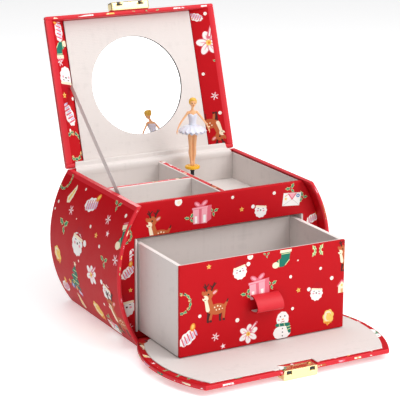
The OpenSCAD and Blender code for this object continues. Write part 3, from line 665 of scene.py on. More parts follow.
def snowflake():
    m = [("white", line(2.7 * math.cos(a), 2.7 * math.sin(a), -2.7 * math.cos(a), -2.7 * math.sin(a), 0.75))
         for a in (0.2, 0.2 + math.pi / 3, 0.2 + 2 * math.pi / 3)]
    m += [("pink", dot(2.9 * math.cos(a), 2.9 * math.sin(a), 0.6))
          for a in (0.2 + math.pi / 3 * i for i in range(6))]
    return m + [("rose", dot(0, 0, 0.7))]


def cookie():
    return [("cream", [(-2.6, -7), (1.6, -6), (4, -1), (5, 5), (3.2, 8.2), (1.6, 5), (-1, 1), (-4, -3)]),
            ("yellow", line(-0.8, -4, 2.4, 2.6, 2)), ("tan", dot(-1.2, -3.6, 0.6)), ("tan", dot(2.6, 4, 0.6))]


def house():
    return [("cream", [(-3.6, -5), (3.6, -5), (3.6, 1.6), (0, 6), (-3.6, 1.6)]),
            ("rose", line(-4.4, 1.2, 0, 6.2, 1.2)), ("rose", line(4.4, 1.2, 0, 6.2, 1.2)),
            ("tan", rectangle(-1, -5, 1.2, -1.4)), ("yellow", dot(0, 1.6, 1))]


def bauble():
    return [("rose", dot(0, 0, 4)), ("pink", dot(-0.8, 1, 2.2)), ("yellow", rectangle(-0.9, 3.6, 0.9, 5.2)),
            ("white", line(-3.4, -1, 3.4, -1.4, 0.9)), ("pine", line(0, 5, 2.6, 7, 0.7))]


def pip(r=1.8):
    r *= 0.76
    return [("white", dot(0, 0, r)), ("cream", dot(0.2 * r, -0.2 * r, 0.5 * r))]


def gold_star(r=2.4):
    return [("yellow", star_shape(0, 0, r)), ("orange", dot(0, 0, 0.3 * r))]


def pale_star(r=2.6):
    return [("pink", star_shape(0, 0, r)), ("white", star_shape(0, 0, 0.62 * r))]


MOTIFS = [(deer, 17), (chick, 9), (gift, 15), (stocking, 9.5), (snowman, 12), (bell, 7), (bow, 10.5),
          (wreath, 13), (candy, 9.5), (tree, 12.5), (envelope, 14), (cookie, 8), (house, 7), (bauble, 7),
          (holly, 6.5), (holly_cross, 7)]
FILLERS = [(lambda: pip(1.9), 3), (lambda: pip(1.2), 2.4), (gold_star, 3.2), (pale_star, 3.4),
           (snowflake, 4.4), (lambda: pip(0.8), 2)]


MOTIF_TRIES, ALL_TRIES = 420, 900       # tries with the large motifs, and with the small ones as well
MOTIF_GAP = 2.2                         # least distance between two motifs
TILT = 14                               # motifs are turned by up to this many degrees


def scatter(seed, u0, v0, u1, v1, big=1.0):
    """A seeded layout of motifs, with small ones filling the gaps; margins let some run off the edge."""
    draw = random.Random(seed)
    placed, items = [], []
    kinds = []
    for attempt in range(ALL_TRIES):
        if attempt < MOTIF_TRIES:
            if not kinds:
                kinds = MOTIFS[:]
                draw.shuffle(kinds)
            make, radius = kinds[-1]
        else:
            make, radius = draw.choice(FILLERS)
        radius *= big
        u = draw.uniform(u0 - radius * 0.5, u1 + radius * 0.5)
        v = draw.uniform(v0 - radius * 0.5, v1 + radius * 0.5)
        if all((u - a) ** 2 + (v - b) ** 2 > (radius + r + MOTIF_GAP) ** 2 for a, b, r in placed):
            placed.append((u, v, radius))
            items.append((make(), u, v, big, draw.uniform(-TILT, TILT)))
            if attempt < MOTIF_TRIES:
                kinds.pop()
    return items


PRINT_LIFT = 0.035      # height of the lowest ink over the panel
LAYER_LIFT = 0.006      # height of each ink over the one below
SLIVER = 1e-5           # faces smaller than this are dropped


def print_on(name, items, surface, bounds, body, clips=(), bend=None, place=AS_BUILT):
    """Lays printed motifs on a surface as a thin skin.

    surface(u, v, h) gives the point h above the panel at (u, v), and bounds is (u0, v0, u1, v1). clips are
    further half planes, each a point and an outward normal. bend is (axis, spacing), where the panel curves
    and the skin needs more edges."""
    inks = []
    bm = bmesh.new()
    for motif, u, v, scale, turn in items:
        for level, (ink, outline) in enumerate(moved(motif, u, v, scale, turn)):
            if ink not in inks:
                inks.append(ink)
            height = PRINT_LIFT + LAYER_LIFT * level
            face = bm.faces.new([bm.verts.new((x, y, height)) for x, y in outline])
            face.material_index = inks.index(ink)
    bmesh.ops.triangulate(bm, faces=bm.faces[:])
    u0, v0, u1, v1 = bounds
    planes = [((u0, v0), (-1, 0)), ((u0, v0), (0, -1)), ((u1, v1), (1, 0)), ((u1, v1), (0, 1)), *clips]
    for point, normal in planes:
        bmesh.ops.bisect_plane(bm, geom=bm.verts[:] + bm.edges[:] + bm.faces[:], plane_co=(*point, 0),
                               plane_no=(*normal, 0), clear_outer=True)
    if bend:
        axis, spacing = bend
        start, end = (u0, u1) if axis == 0 else (v0, v1)
        for i in range(1, int((end - start) / spacing)):
            at = [0, 0, 0]
            at[axis] = start + i * spacing
            direction = [0, 0, 0]
            direction[axis] = 1
            bmesh.ops.bisect_plane(bm, geom=bm.verts[:] + bm.edges[:] + bm.faces[:], plane_co=at,
                                   plane_no=direction)
    for vert in bm.verts:
        vert.co = surface(*vert.co)
    for face in bm.faces:
        face.normal_update()
    middle = surface((u0 + u1) / 2, (v0 + v1) / 2, 0)
    outward = (surface((u0 + u1) / 2, (v0 + v1) / 2, 1) - middle).normalized()
    flipped = [f for f in bm.faces if f.normal.dot(outward) < 0]
    if len(flipped) > len(bm.faces) / 2:
        bmesh.ops.reverse_faces(bm, faces=bm.faces[:])
    bmesh.ops.delete(bm, geom=[f for f in bm.faces if f.calc_area() < SLIVER], context="FACES")
    return add(name, bm, [INKS[i] for i in inks], body, place, soften=False)


# ---- camera, light and floor ---------------------------------------------------------------------

CAMERA_AT = Vector((-599.1, -1115.9, 448.4))
LOOK_AT = Vector((-24.7, -64, 111.25))
CAMERA_ROLL = 0.19

camera = bpy.data.objects.new("camera", bpy.data.cameras.new("camera"))
bpy.context.scene.collection.objects.link(camera)
camera.data.lens = 146.8
camera.data.sensor_width = 36
camera.data.clip_start = 0.05
camera.data.clip_end = 60
view = (LOOK_AT - CAMERA_AT).normalized()
level = view.cross(Vector((0, 0, 1))).normalized()
rise = level.cross(view)
roll = math.radians(CAMERA_ROLL)
across = level * math.cos(roll) + rise * math.sin(roll)
up = rise * math.cos(roll) - level * math.sin(roll)
camera.matrix_world = Matrix((across, up, -view)).transposed().to_4x4()
camera.matrix_world.translation = CAMERA_AT * MM
bpy.context.scene.camera = camera
bpy.context.scene.view_settings.view_transform = "Standard"


def area_light(name, at, towards, size, watts, tint=(1, 1, 1)):
    light = bpy.data.lights.new(name, "AREA")
    light.shape = "DISK"
    light.size = size
    light.energy = watts
    light.color = tint
    lamp = bpy.data.objects.new(name, light)
    bpy.context.scene.collection.objects.link(lamp)
    lamp.location = at
    lamp.rotation_euler = (Vector(towards) - Vector(at)).to_track_quat("-Z", "Y").to_euler()


area_light("key", (0.9, -0.9, 1.5), (0, 0, 0.1), 1.1, 15)
area_light("top", (-0.1, 0.1, 1.8), (0, 0, 0.1), 1.6, 17)
area_light("fill", (-1.2, -1.4, 0.9), (0, -0.05, 0.1), 1.2, 5)
area_light("mirror_box", (0.55, -1.05, 0.6), (0, 0.07, 0.15), 1.0, 5)

world = bpy.data.worlds.new("studio")
bpy.context.scene.world = world
world.use_nodes = True
sky = world.node_tree
direction = sky.nodes.new("ShaderNodeTexCoord").outputs["Generated"]
facing = sky.nodes.new("ShaderNodeVectorMath")
facing.operation = "DOT_PRODUCT"
facing.inputs[1].default_value = Vector((-0.75, 0.6, 0.28)).normalized()
dark_side = sky.nodes.new("ShaderNodeMapRange")
dark_side.interpolation_type = "SMOOTHSTEP"
dark_side.inputs["From Min"].default_value = 0.25
dark_side.inputs["From Max"].default_value = 0.85
sky_mix = sky.nodes.new("ShaderNodeMix")
sky_mix.data_type = "RGBA"
sky_mix.inputs["A"].default_value = (1, 1, 1, 1)
sky_mix.inputs["B"].default_value = (0.12, 0.12, 0.13, 1)
sky.links.new(direction, facing.inputs[0])
sky.links.new(facing.outputs["Value"], dark_side.inputs["Value"])
sky.links.new(dark_side.outputs["Result"], sky_mix.inputs["Factor"])
sky.links.new(sky_mix.outputs["Result"], sky.nodes["Background"].inputs["Color"])
sky.nodes["Background"].inputs["Strength"].default_value = 0.4

floor_mesh = bmesh.new()
bmesh.ops.create_grid(floor_mesh, x_segments=1, y_segments=1, size=9000)
bmesh.ops.translate(floor_mesh, vec=(0, 0, -0.05), verts=floor_mesh.verts)
floor_shader = Shader("pale_floor", Specular_IOR_Level=0.3, Emission_Color=(1, 1, 1, 1),
                      Emission_Strength=0.42)
floor_shader.feed("Base Color", floor_shader.blend(floor_shader.texture("Noise", 3), (0.93, 0.93, 0.935, 1),
                                                   (0.95, 0.95, 0.955, 1)))
floor_shader.feed("Roughness", floor_shader.ramp(floor_shader.texture("Noise", 9), 0.3, 0.36))
add("floor", floor_mesh, floor_shader.material, None, soften=False)


# ---- case ----------------------------------------------------------------------------------------

LEFT, RIGHT = -1, 1
ROUND_RIM = 1.5


def barrel_board(side, z0, z1, thickness, y0, y1, rim):
    """A curved board: its section drawn in XZ and run along Y."""
    heights = [z0 + (z1 - z0) * i / 40 for i in range(41)]
    outer = [(side * barrel_x(z), z) for z in heights]
    inner = [(side * barrel_x(z, thickness), z) for z in reversed(heights)]
    bm = plate_mesh([outer + inner], y1 - y0, rim)
    bmesh.ops.transform(bm, matrix=upright(y1), verts=bm.verts)
    return bm


for side, name in ((LEFT, "left"), (RIGHT, "right")):
    board = barrel_board(side, 0, CASE_TOP, SIDE_T, FRONT, BACK, ROUND_RIM)
    # The front and top rim faces take the lighter red: painted highlight.
    for face in board.faces:
        centre = face.calc_center_median()
        if centre.y < FRONT + ROUND_RIM or centre.z > CASE_TOP - ROUND_RIM:
            face.material_index = 1
    add("case_side_" + name, board, [RED, RIM], "case", replaces=["side_wall_" + name])

back_plate = plate_mesh([barrel_outline(SIDE_T + 0.05, 4.05, CASE_TOP, 40),
                         circle(3.5, (DANCER_X, 34.5), 40)], 3.95, 0.4)
add("case_back", back_plate, RED, "case", upright(BACK), ["back_wall"])
base = plate_mesh([barrel_outline(SIDE_T + 0.05, 0, 4, 4)], 128, 0.3, 1)
add("case_base", base, RED, "case", upright(BACK), ["base_board"])

fascia = plate_mesh([barrel_outline(SIDE_T + 0.05, 4.05, FASCIA_TOP, 44),
                     rectangle(-OPENING_X, OPENING_LOW, OPENING_X, OPENING_HIGH)], FASCIA_T, 0.9)
add("case_fascia", fascia, RED, "case", upright(FASCIA_Y + FASCIA_T), ["fascia"])

# Linings: boards wrapped in linen, with a paler cut edge on top
SLEEVE_BACK = 28


def lined(name, low, high, node, body="case", edge=0.45, top_edge=True):
    """A lining board; the narrow face on top shows the pale edge of the paper."""
    bm = box_mesh(low, high, edge)
    if top_edge:
        top = max(low[2], high[2])
        for face in bm.faces:
            if face.calc_center_median().z > top - 0.02 or (face.normal.z > 0.5):
                face.material_index = 1
    return add(name, bm, [LINING, LINING_EDGE], body, replaces=[node] if node else ())


sleeve_parts = [
    box_mesh((-74.95, FASCIA_Y - 1, 9.75), (-73.35, SLEEVE_BACK, 84.15), 0.35),
    box_mesh((73.35, FASCIA_Y - 1, 9.75), (74.95, SLEEVE_BACK, 84.15), 0.35),
    box_mesh((-73.3, FASCIA_Y + FASCIA_T, 8), (73.3, SLEEVE_BACK - 1.7, 9.7), 0.3),
    box_mesh((-73.3, SLEEVE_BACK - 1.6, 9.75), (73.3, SLEEVE_BACK, 84.1), 0.3),
]
add("drawer_sleeve_lining", join(*sleeve_parts), LINING, "case", replaces=["drawer_sleeve"])

add("tray_floor_board", box_mesh((-75.2, -48.95, 84.25), (75.2, 60, 87.2), 0.2), LINING, "case")
INNER_BACK = 58.6       # inner face of the tray's back wall
for name, x0, x1, y0, y1 in (
        ("left_back", -73.7, 2.5, 5.1, INNER_BACK), ("left_front", -73.7, 2.5, -45.4, 0.5),
        ("right", 8.1, 73.7, -45.4, INNER_BACK)):
    pad = box_mesh((x0, y0, 86.9), (x1, y1, 87.75), 0.35)
    add("tray_pad_" + name, pad, LINING, "case")
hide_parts("tray_floor")

lined("tray_lining_left", (-75.2, -48.9, 87.3), (-73.8, 60, TRAY_TOP), "tray_wall_left")
lined("tray_lining_right", (73.8, -48.9, 87.3), (75.2, 60, TRAY_TOP), "tray_wall_right")
lined("tray_lining_front", (-73.75, -48.9, 87.3), (73.75, -45.5, TRAY_TOP), "tray_wall_front", edge=0.8)
lined("tray_lining_back", (-73.75, INNER_BACK, 87.3), (73.75, 60, TRAY_TOP), "tray_wall_back")
lined("tray_divider_long", (2.65, -45.45, 87.3), (7.95, INNER_BACK, TRAY_TOP - 0.1), "long_divider", edge=0.5)
lined("tray_divider_cross", (-73.75, 0.6, 87.3), (2.6, 5.0, TRAY_TOP - 0.1), "cross_divider", edge=0.5)
for name, low, high in (("long", (3.6, -45.3, 110), (7.0, 58.5, 110.45)),
                        ("cross", (-73.6, 1.5, 110), (3.4, 4.1, 110.42))):
    add("divider_cover_" + name, box_mesh(low, high, 0.15, 2), RIM, "case")


def flat_at(z):
    return lambda u, v, h: Vector((u, v, z + h))


print_on("divider_print_long", scatter(31, 3.6, -45, 7.0, 58, 0.55), flat_at(110.45),
         (3.75, -45, 6.85, 58.3), "case")
print_on("divider_print_cross", scatter(32, -73, 1.5, 3.4, 4.1, 0.55), flat_at(110.42),
         (-73.3, 1.65, 3.3, 3.95), "case")

# ---- drawer --------------------------------------------------------------------------------------

front = plate_mesh([rectangle(-DRAWER_X, DRAWER_LOW, DRAWER_X, DRAWER_LOW + DRAWER_H, 0.8)], DRAWER_T - 0.8,
                   0.7)
add("drawer_front_cover", front, RED, "drawer", upright(DRAWER_Y + DRAWER_T - 0.8), ["drawer_front"])
inner_y = DRAWER_Y + DRAWER_T
top_z = DRAWER_LOW + DRAWER_H
lined("drawer_front_lining", (-71.7, inner_y - 0.8, 10.3), (71.7, inner_y, top_z - 0.15), None, "drawer", 0.2)
lined("drawer_side_left", (-72, inner_y + 0.05, 10), (-68.5, DRAWER_Y + DRAWER_LEN, top_z - 0.25),
      "drawer_left", "drawer")
lined("drawer_side_right", (68.5, inner_y + 0.05, 10), (72, DRAWER_Y + DRAWER_LEN, top_z - 0.25),
      "drawer_right", "drawer")
lined("drawer_back_board", (-68.45, DRAWER_Y + DRAWER_LEN - 3.5, 10),
      (68.45, DRAWER_Y + DRAWER_LEN, top_z - 0.25), "drawer_back", "drawer")
lined("drawer_floor", (-68.45, inner_y + 0.05, 10), (68.45, DRAWER_Y + DRAWER_LEN - 3.55, 13),
      "drawer_bottom", "drawer", 0.3, False)

# Folded leather loop, stitched through the drawer front
TAB_Z, TAB_X, TAB_T = 42, 11.5, 1.1
tab_curve = smooth_path([(0, 6.4), (-3.2, 6.0), (-6.6, 3.9), (-9.2, 0.6), (-9.6, -1.9), (-7.6, -3.6),
                         (-4, -4.3), (0, -4.4)], 5)
tab = bmesh.new()
rows = []
for i, (y, z) in enumerate(tab_curve):
    before, after = tab_curve[max(i - 1, 0)], tab_curve[min(i + 1, len(tab_curve) - 1)]
    heading = Vector((after[0] - before[0], after[1] - before[1])).normalized()
    normal = Vector((heading.y, -heading.x))
    rows.append([tab.verts.new((x, DRAWER_Y - 0.1 + y + normal.x * o, TAB_Z + z + normal.y * o))
                 for x, o in ((-TAB_X, 0), (-TAB_X, TAB_T), (TAB_X, TAB_T), (TAB_X, 0))])
for first, second in zip(rows, rows[1:]):
    for k in range(4):
        face = tab.faces.new((first[k], first[(k + 1) % 4], second[(k + 1) % 4], second[k]))
        face.material_index = (0, 1, 0, 1)[k]
tab.faces.new(rows[0])
tab.faces.new(list(reversed(rows[-1])))
bmesh.ops.recalc_face_normals(tab, faces=tab.faces[:])
long_edges = [e for e in tab.edges if len(e.link_faces) == 2 and e.calc_face_angle() > 1.0]
bmesh.ops.bevel(tab, geom=long_edges, offset=0.22, segments=2, profile=0.5, affect="EDGES")
middle_yz = Vector((DRAWER_Y - 4.5, TAB_Z + 0.6))
# Outer faces take the lighter red (painted highlight), inner faces the linen, and the two ends the plain red.
for face in tab.faces:
    centre = face.calc_center_median()
    inwards = Vector((face.normal.y, face.normal.z)).dot(middle_yz - Vector((centre.y, centre.z)))
    face.material_index = 2 if abs(face.normal.x) > 0.7 else (1 if inwards > 0.5 else 0)
add("drawer_pull_tab", tab, [RIM, LINING, RED], "drawer", replaces=["pull_tab"])

# ---- lid -----------------------------------------------------------------------------------------

LID_BACK_T, LID_FRONT_T = 4, 3.5
RIM_X = LID_X
RIM_W = 5.3
lid_top_z = LID_RIM + LID_H

lid_panel = plate_mesh([lid_outline(lid_top_z - 3, lid_top_z, 4)], BACK - LID_FRONT, 0.9)
add("lid_top_board", lid_panel, RED, "lid", LID_TO_REST @ upright(BACK), ["lid_top"])
for name, y0, y1, node in (("front", LID_FRONT, LID_FRONT + LID_FRONT_T, "lid_front_wall"),
                           ("back", BACK - LID_BACK_T, BACK, "lid_back_wall")):
    wall = plate_mesh([lid_outline(LID_RIM, lid_top_z - 3.05, 10)], y1 - y0, 1.4)
    add("lid_wall_" + name, wall, RIM, "lid", LID_TO_REST @ upright(y1), [node])
for side, name in ((LEFT, "left"), (RIGHT, "right")):
    heights = [LID_RIM + (LID_H - 3.05) * i / 10 for i in range(11)]
    outline = [(side * lid_x(z), z) for z in heights] + \
        [(side * (LINING_X + 0.9), heights[-1]), (side * (LINING_X + 0.8), LINING_Z + 0.6),
         (side * (RIM_X - RIM_W), LID_RIM)]
    slope = plate_mesh([outline], BACK - LID_BACK_T - LID_FRONT - LID_FRONT_T + 1.2, 0.7)
    # The faces along the rim take the lighter red: painted highlight.
    for face in slope.faces:
        if face.calc_center_median().y < LID_RIM + 0.9:
            face.material_index = 1
    add("lid_side_" + name, slope, [RED, RIM], "lid", LID_TO_REST @ upright(BACK - LID_BACK_T + 0.6),
        ["lid_side_" + name])

LID_IN_FRONT, LID_IN_BACK = LID_FRONT + LID_FRONT_T + 0.2, BACK - LID_BACK_T - 0.2
lining = plate_mesh([rectangle(-LINING_X, LID_IN_FRONT, LINING_X, LID_IN_BACK, 0.6),
                     circle(MIRROR_R, (0, MIRROR_Y), 128)],
                    LINING_T, 0.25, 2)
# Edge faces take the pale linen edge, and those round the mirror's hole the dark grey: painted shade.
for face in lining.faces:
    centre = face.calc_center_median()
    from_middle = math.hypot(centre.x, centre.y - MIRROR_Y)
    if abs(face.normal.z) < 0.8:
        face.material_index = 2 if from_middle < MIRROR_R + 0.6 else 1
add("lid_lining_board", lining, [LINING, LINING_EDGE, MIRROR_HOLE_SHADE], "lid",
    LID_TO_REST @ Matrix.Translation((0, 0, LINING_Z)), ["lid_lining"])
glass = plate_mesh([circle(MIRROR_R + 2, (0, MIRROR_Y), 128)], 2.9, 0.3, 2)
add("mirror_disc", glass, MIRROR, "lid",
    LID_TO_REST @ Matrix.Translation((0, 0, LINING_Z + LINING_T + 0.05)), ["mirror"])

# ---- clasp ---------------------------------------------------------------------------------------

SLOT_X, CLASP_X = 9.9, 14.4        # middle of each hook and slot, and half width of the lower case
plate_low, plate_high = LID_FRONT - 7.5, LID_FRONT - 0.02
shell = box_mesh((-17.5, plate_low, LID_RIM - 0.2), (17.5, plate_high, LID_RIM + 8), 1.5, 4)
parts = [shell]
for side in (LEFT, RIGHT):
    x = side * SLOT_X
    parts += [box_mesh((x - 1.4, -67.8, LID_RIM - 5), (x + 1.4, -66.6, LID_RIM + 0.4), 0.3),
              box_mesh((x - 1.4, -67.6, LID_RIM - 5), (x + 1.4, -66.1, LID_RIM - 3.8), 0.3)]
add("clasp_upper", join(*parts), GOLD, "lid", LID_TO_REST, ["clasp_plate"])
# Thin dark steel plates round the hooks' roots: painted shadow of the hooks.
hook_shadow_plates = [painted(box_mesh((x - 2.4, -68.6, LID_RIM - 0.45), (x + 2.4, -65.4, LID_RIM - 0.15), 0.1), 0)
         for x in (-SLOT_X, SLOT_X)]
add("clasp_upper_hook_shadows", join(*hook_shadow_plates), DARK_STEEL, "lid", LID_TO_REST)

CASE_IN, CASE_OUT, CASE_HI, CASE_LO = -65.1, -72.8, 112.0, 102.5
slots = [rectangle(x - 2.2, -68.5, x + 2.2, -65.7, 0.3, 2) for x in (-SLOT_X, SLOT_X)]
top_plate = plate_mesh([rectangle(-CLASP_X, CASE_OUT, CLASP_X, CASE_IN, 0.8), *slots], 1.2, 0.3)
bmesh.ops.translate(top_plate, vec=(0, 0, CASE_HI - 1.2), verts=top_plate.verts)
body_box = box_mesh((-CLASP_X, CASE_OUT, CASE_LO), (CLASP_X, CASE_IN, CASE_HI - 1.0), 0.8, 3)
# Thin black plates under the slots: painted shade inside the slots.
dark = [painted(box_mesh((x - 2.1, -68.4, CASE_HI - 1.1), (x + 2.1, -65.8, CASE_HI - 0.9), 0.05), 1)
        for x in (-SLOT_X, SLOT_X)]
add("clasp_lower", join(top_plate, body_box, *dark), [GOLD, BLACK], "flap", FLAP_TO_REST, ["clasp_case"])
for side, name in ((LEFT, "left"), (RIGHT, "right")):
    z = CASE_LO + 4.6
    y = CASE_OUT + 2.9
    knob = [(side * (14.6 + dx), r) for dx, r in (
        (0, 1.7), (1.0, 1.9), (1.3, 2.9), (2.2, 3.4), (3.0, 3.3), (3.3, 2.6), (3.5, 2.7), (4.7, 2.5),
        (5.6, 1.6), (6.0, 0.6))]
    ear = tube_mesh([(x, y, z) for x, _ in knob], [(r * 1.15, r * 0.85) for _, r in knob], 28)
    bar = box_mesh((min(side * 10.4, side * 15), -71.3, CASE_LO + 3.2),
                   (max(side * 10.4, side * 15), -69.9, CASE_LO + 5.4), 0.2)
    add("clasp_ear_" + name, join(ear, bar), GOLD, "latch_" + name, FLAP_TO_REST, ["latch_button_" + name],
        corner=50)

# ---- flap ----------------------------------------------------------------------------------------

notch_z = CASE_LO + 0.3
flap_edge = barrel_outline(0, FLAP_LOW, FLAP_TOP, 44)
right_half = [p for p in flap_edge if p[0] > 0]
left_half = [p for p in flap_edge if p[0] < 0]
flap_shape = right_half + [(14.6, FLAP_TOP), (14.6, notch_z), (-14.6, notch_z), (-14.6, FLAP_TOP)] + left_half
flap_board = plate_mesh([flap_shape], FLAP_T, 1.6, 5)
# The flap's edge faces take the lighter red: painted highlight.
for face in flap_board.faces:
    if abs(face.normal.z) < 0.75:
        face.material_index = 1
add("flap_cover", flap_board, [RED, RIM], "flap", FLAP_TO_REST @ upright(FLAP_IN), ["flap_board"])

LINING_INSET = 5.4
lining_shape = [(x, z) for x, z in barrel_outline(LINING_INSET, FLAP_LOW + 6, FLAP_TOP - 2.4, 40)]
right_half = [p for p in lining_shape if p[0] > 0]
left_half = [p for p in lining_shape if p[0] < 0]
corner = 7


def rounded_start(points):
    """Rounds the lining's corners at the hinge side."""
    (x0, z0) = points[0]
    return [(x0 - corner + corner * math.sin(math.radians(a)),
             z0 + corner - corner * math.cos(math.radians(a)))
            for a in range(0, 90, 15)] + [p for p in points if p[1] > z0 + corner]


right_round = rounded_start(right_half)
left_round = [(-x, z) for x, z in reversed(right_round)]
lining_shape = right_round + [(15.4, FLAP_TOP - 2.4), (15.4, notch_z - 0.8), (-15.4, notch_z - 0.8),
                              (-15.4, FLAP_TOP - 2.4)] + left_round
flap_lining = plate_mesh([lining_shape], 0.78, 0.3, 2)
for face in flap_lining.faces:
    if abs(face.normal.z) < 0.6:
        face.material_index = 1
add("flap_lining_sheet", flap_lining, [LINING, LINING_EDGE], "flap", FLAP_TO_REST @ upright(FLAP_IN + 0.78),
    ["flap_lining"])

# ---- print ---------------------------------------------------------------------------------------


def upright_at(y):
    """A panel that faces the front: u to the right, v up."""
    return lambda u, v, h: Vector((u, y - h, v))


def facing_back_at(y):
    return lambda u, v, h: Vector((-u, y + h, v))


def barrel_side(side):
    """The outside of a barrel side: u along the case, v up along the curve from the belly."""
    def place(u, v, h):
        angle = v / BARREL_R
        reach = (BARREL_R + h) * math.cos(angle) - BARREL_CX
        return Vector((side * reach, u * side, BARREL_Z + (BARREL_R + h) * math.sin(angle)))
    return place


def barrel_clips(inset, z0, z1, count=14):
    """Half planes that cut a flat print to the barrel's outline."""
    clips = []
    for i in range(count + 1):
        z = z0 + (z1 - z0) * i / count
        for side in (LEFT, RIGHT):
            x = barrel_x(z, inset)
            clips.append(((side * x, z), (side * (x + BARREL_CX) / BARREL_R, (z - BARREL_Z) / BARREL_R)))
    return clips


drawer_items = [
    (deer(), 30, 37.5, 0.98, 0), (chick(), 50.7, 60, 1, 8), (gift(), 67.6, 44.5, 1, 4),
    (stocking(), 87.5, 64, 1, -2),
    (holly_cross(), 119, 66, 1, 0), (deer(), 146.5, 57, 0.8, 0),
    (moved(chick(), 0, 0, flip=True), 118.8, 32, 0.95, -6),
    (snowman(), 88.3, 11, 0.98, 0), (bell(), 130, 10.5, 1, -8), (bow(), 58.5, 9, 0.98, 5),
    (wreath(), 1.5, 42, 0.85, 0),
    (candy(), 7, 14.5, 1.15, 35), (snowflake(), 30.3, 11.5, 0.95, 0), (pale_star(), 36.8, 3, 1, 10),
    (gold_star(), 24.4, 67.2, 0.9, 0),
    (gold_star(), 102.4, 36.6, 0.9, 15), (pip(1.8), 17, 30, 1, 0), (pip(2.2), 49, 21.5, 1, 0),
    (pip(1.7), 95.2, 48.5, 1, 0),
    (pip(1.6), 122, 51, 1, 0), (pip(2.1), 132.4, 41.6, 1, 0), (pip(0.8), 101.4, 60.6, 1, 0),
    (pip(1.7), 97.4, 22.6, 1, 0),
    (pip(3.2), 59.5, 69.8, 1, 0), (holly(0.6), 73.6, 69, 0.8, 0), (house(), 141.8, 33, 0.9, 0),
]
drawer_items = [(m, u - DRAWER_X, v + DRAWER_LOW, s, t) for m, u, v, s, t in drawer_items]
print_on("drawer_print", drawer_items, upright_at(DRAWER_Y), (-71.6, 10.3, 71.6, 80.7), "drawer")

fascia_items = [
    (deer(), -54.5, 88.5, 0.95, 0), (pip(4.2), -37.5, 108.6, 1, 0), (gift(), -17, 97, 0.95, 0),
    (gold_star(), 18.6, 95.2, 0.9, 0),
    (pip(1.7), 10.3, 106, 1, 0), (moved(chick(), 0, 0, flip=True), 36, 92.6, 0.95, -4),
    (pip(1.9), 48.2, 104.6, 1, 0),
    (envelope(), 64.4, 97.6, 0.92, -4), (candy(), 84.5, 79, 0.8, 20), (wreath(), -84.5, 88, 0.72, 0),
    (candy(), -81.3, 58.4, 0.9, 40),
    (chick(), -82.5, 31, 1.2, 0), (cane(), -78.6, 70.5, 0.8, 0), (snowflake(), -80, 14, 0.9, 0),
    (tree(), 84.5, 48, 0.8, 0),
    (pip(1.8), 82.5, 24, 1, 0), (holly(0.8), 86, 65, 0.8, 0), (gold_star(), -79, 44, 0.8, 0),
]
clips = barrel_clips(SIDE_T + 0.6, 6, 111)
regions = {
    "top": (-95, OPENING_HIGH + 1, 95, FASCIA_TOP - 0.9), "left": (-95, 6, -OPENING_X - 1, OPENING_HIGH + 1),
    "right": (OPENING_X + 1, 6, 95, OPENING_HIGH + 1),
}
for region, bounds in regions.items():
    print_on("fascia_print_" + region, fascia_items, upright_at(FASCIA_Y), bounds, "case", clips)

left_items = [  # u is -y, v from the belly
    (cookie(), -39, 43, 0.95, 0), (candy(), -2, 43.5, 1.15, 18), (holly(0.8), 36, 53, 1.0, 0),
    (pip(1.8), 54.4, 49.2, 1, 0), (snowflake(), -30.6, 31.5, 1, 0),
    (snowflake(), 31.6, 39.8, 1, 0), (pale_star(), 37.4, 30, 1, 0), (chick(), -10, 10, 1.35, -10),
    (pip(1.5), -56, 32.5, 1, 0),
    (pip(1.2), -59, 25.8, 1, 0), (pip(0.8), -18, 27.5, 1, 0), (pip(1.6), 28.5, 17.5, 1, 0),
    (pip(1.2), -7.4, -4.3, 1, 0), (holly(1.0), -38.5, 17, 1.2, 0),
    (bell(), -49, -10, 1, 10), (holly(0.9), 38.7, 8.4, 1, 0), (snowflake(), 57.5, 14.6, 1.1, 0),
    (stocking(), 62, 34, 1.1, 20),
    (tree(), -19, -21, 1.15, -18), (bow(), 15.7, -9, 0.9, 0),
    (moved(chick(), 0, 0, flip=True), 42, -15.5, 1.0, -14), (candy(), -50, -40, 1, 30),
    (bell(), 10, -43, 1.2, 30), (deer(), 53, -34, 1, 4), (cookie(), -28, -48, 0.9, 20),
    (envelope(), 30, -52, 0.8, 0), (gold_star(), -34, -30, 1, 0),
    (gold_star(), 20, 24, 0.9, 0), (pip(1.6), 8, 28, 1, 0), (pip(1.4), 30, -30, 1, 0),
    (wreath(), -57, 52, 0.8, 0), (pip(1.3), -20, 52, 1, 0),
]
left_items = [(m, u, v, s * 1.18, t) for m, u, v, s, t in left_items]
side_bounds = (-62.4, -59.5, 62.4, 57.4)
print_on("side_print_left", left_items, barrel_side(LEFT), side_bounds, "case", bend=(1, 3))
print_on("side_print_right", scatter(11, -62, -59, 62, 57), barrel_side(RIGHT), side_bounds, "case",
         bend=(1, 3))
back_clips = barrel_clips(SIDE_T + 0.8, 5, 111)
print_on("back_print", scatter(12, -92, 6, 92, 112), facing_back_at(BACK), (-92, 5, 92, 99), "case",
         back_clips)


def lid_flat(z):
    """The outside of the lid's top, seen from above with the hinge at the bottom."""
    return lambda u, v, h: Vector((-u, -v, z + h))


top_x = lid_x(lid_top_z) - 1.2
print_on("lid_top_print", scatter(13, -top_x, -62, top_x, 60), lid_flat(lid_top_z),
         (-top_x, -62.8, top_x, 60.2), "lid", place=LID_TO_REST)


def lid_slope(side):
    """The slope inside the lid: u across the slope, to the right, v from the hinge to the front."""
    rim = Vector((side * (RIM_X - RIM_W), 0, LID_RIM))
    inner = Vector((side * (LINING_X + 0.8), 0, LINING_Z + 0.6))
    start, end = (rim, inner) if side == LEFT else (inner, rim)
    along = (end - start).normalized()
    out = Vector((-abs(along.z) * side, 0, -abs(along.x)))
    return lambda u, v, h: start + along * u + out * h + Vector((0, BACK - v, 0))


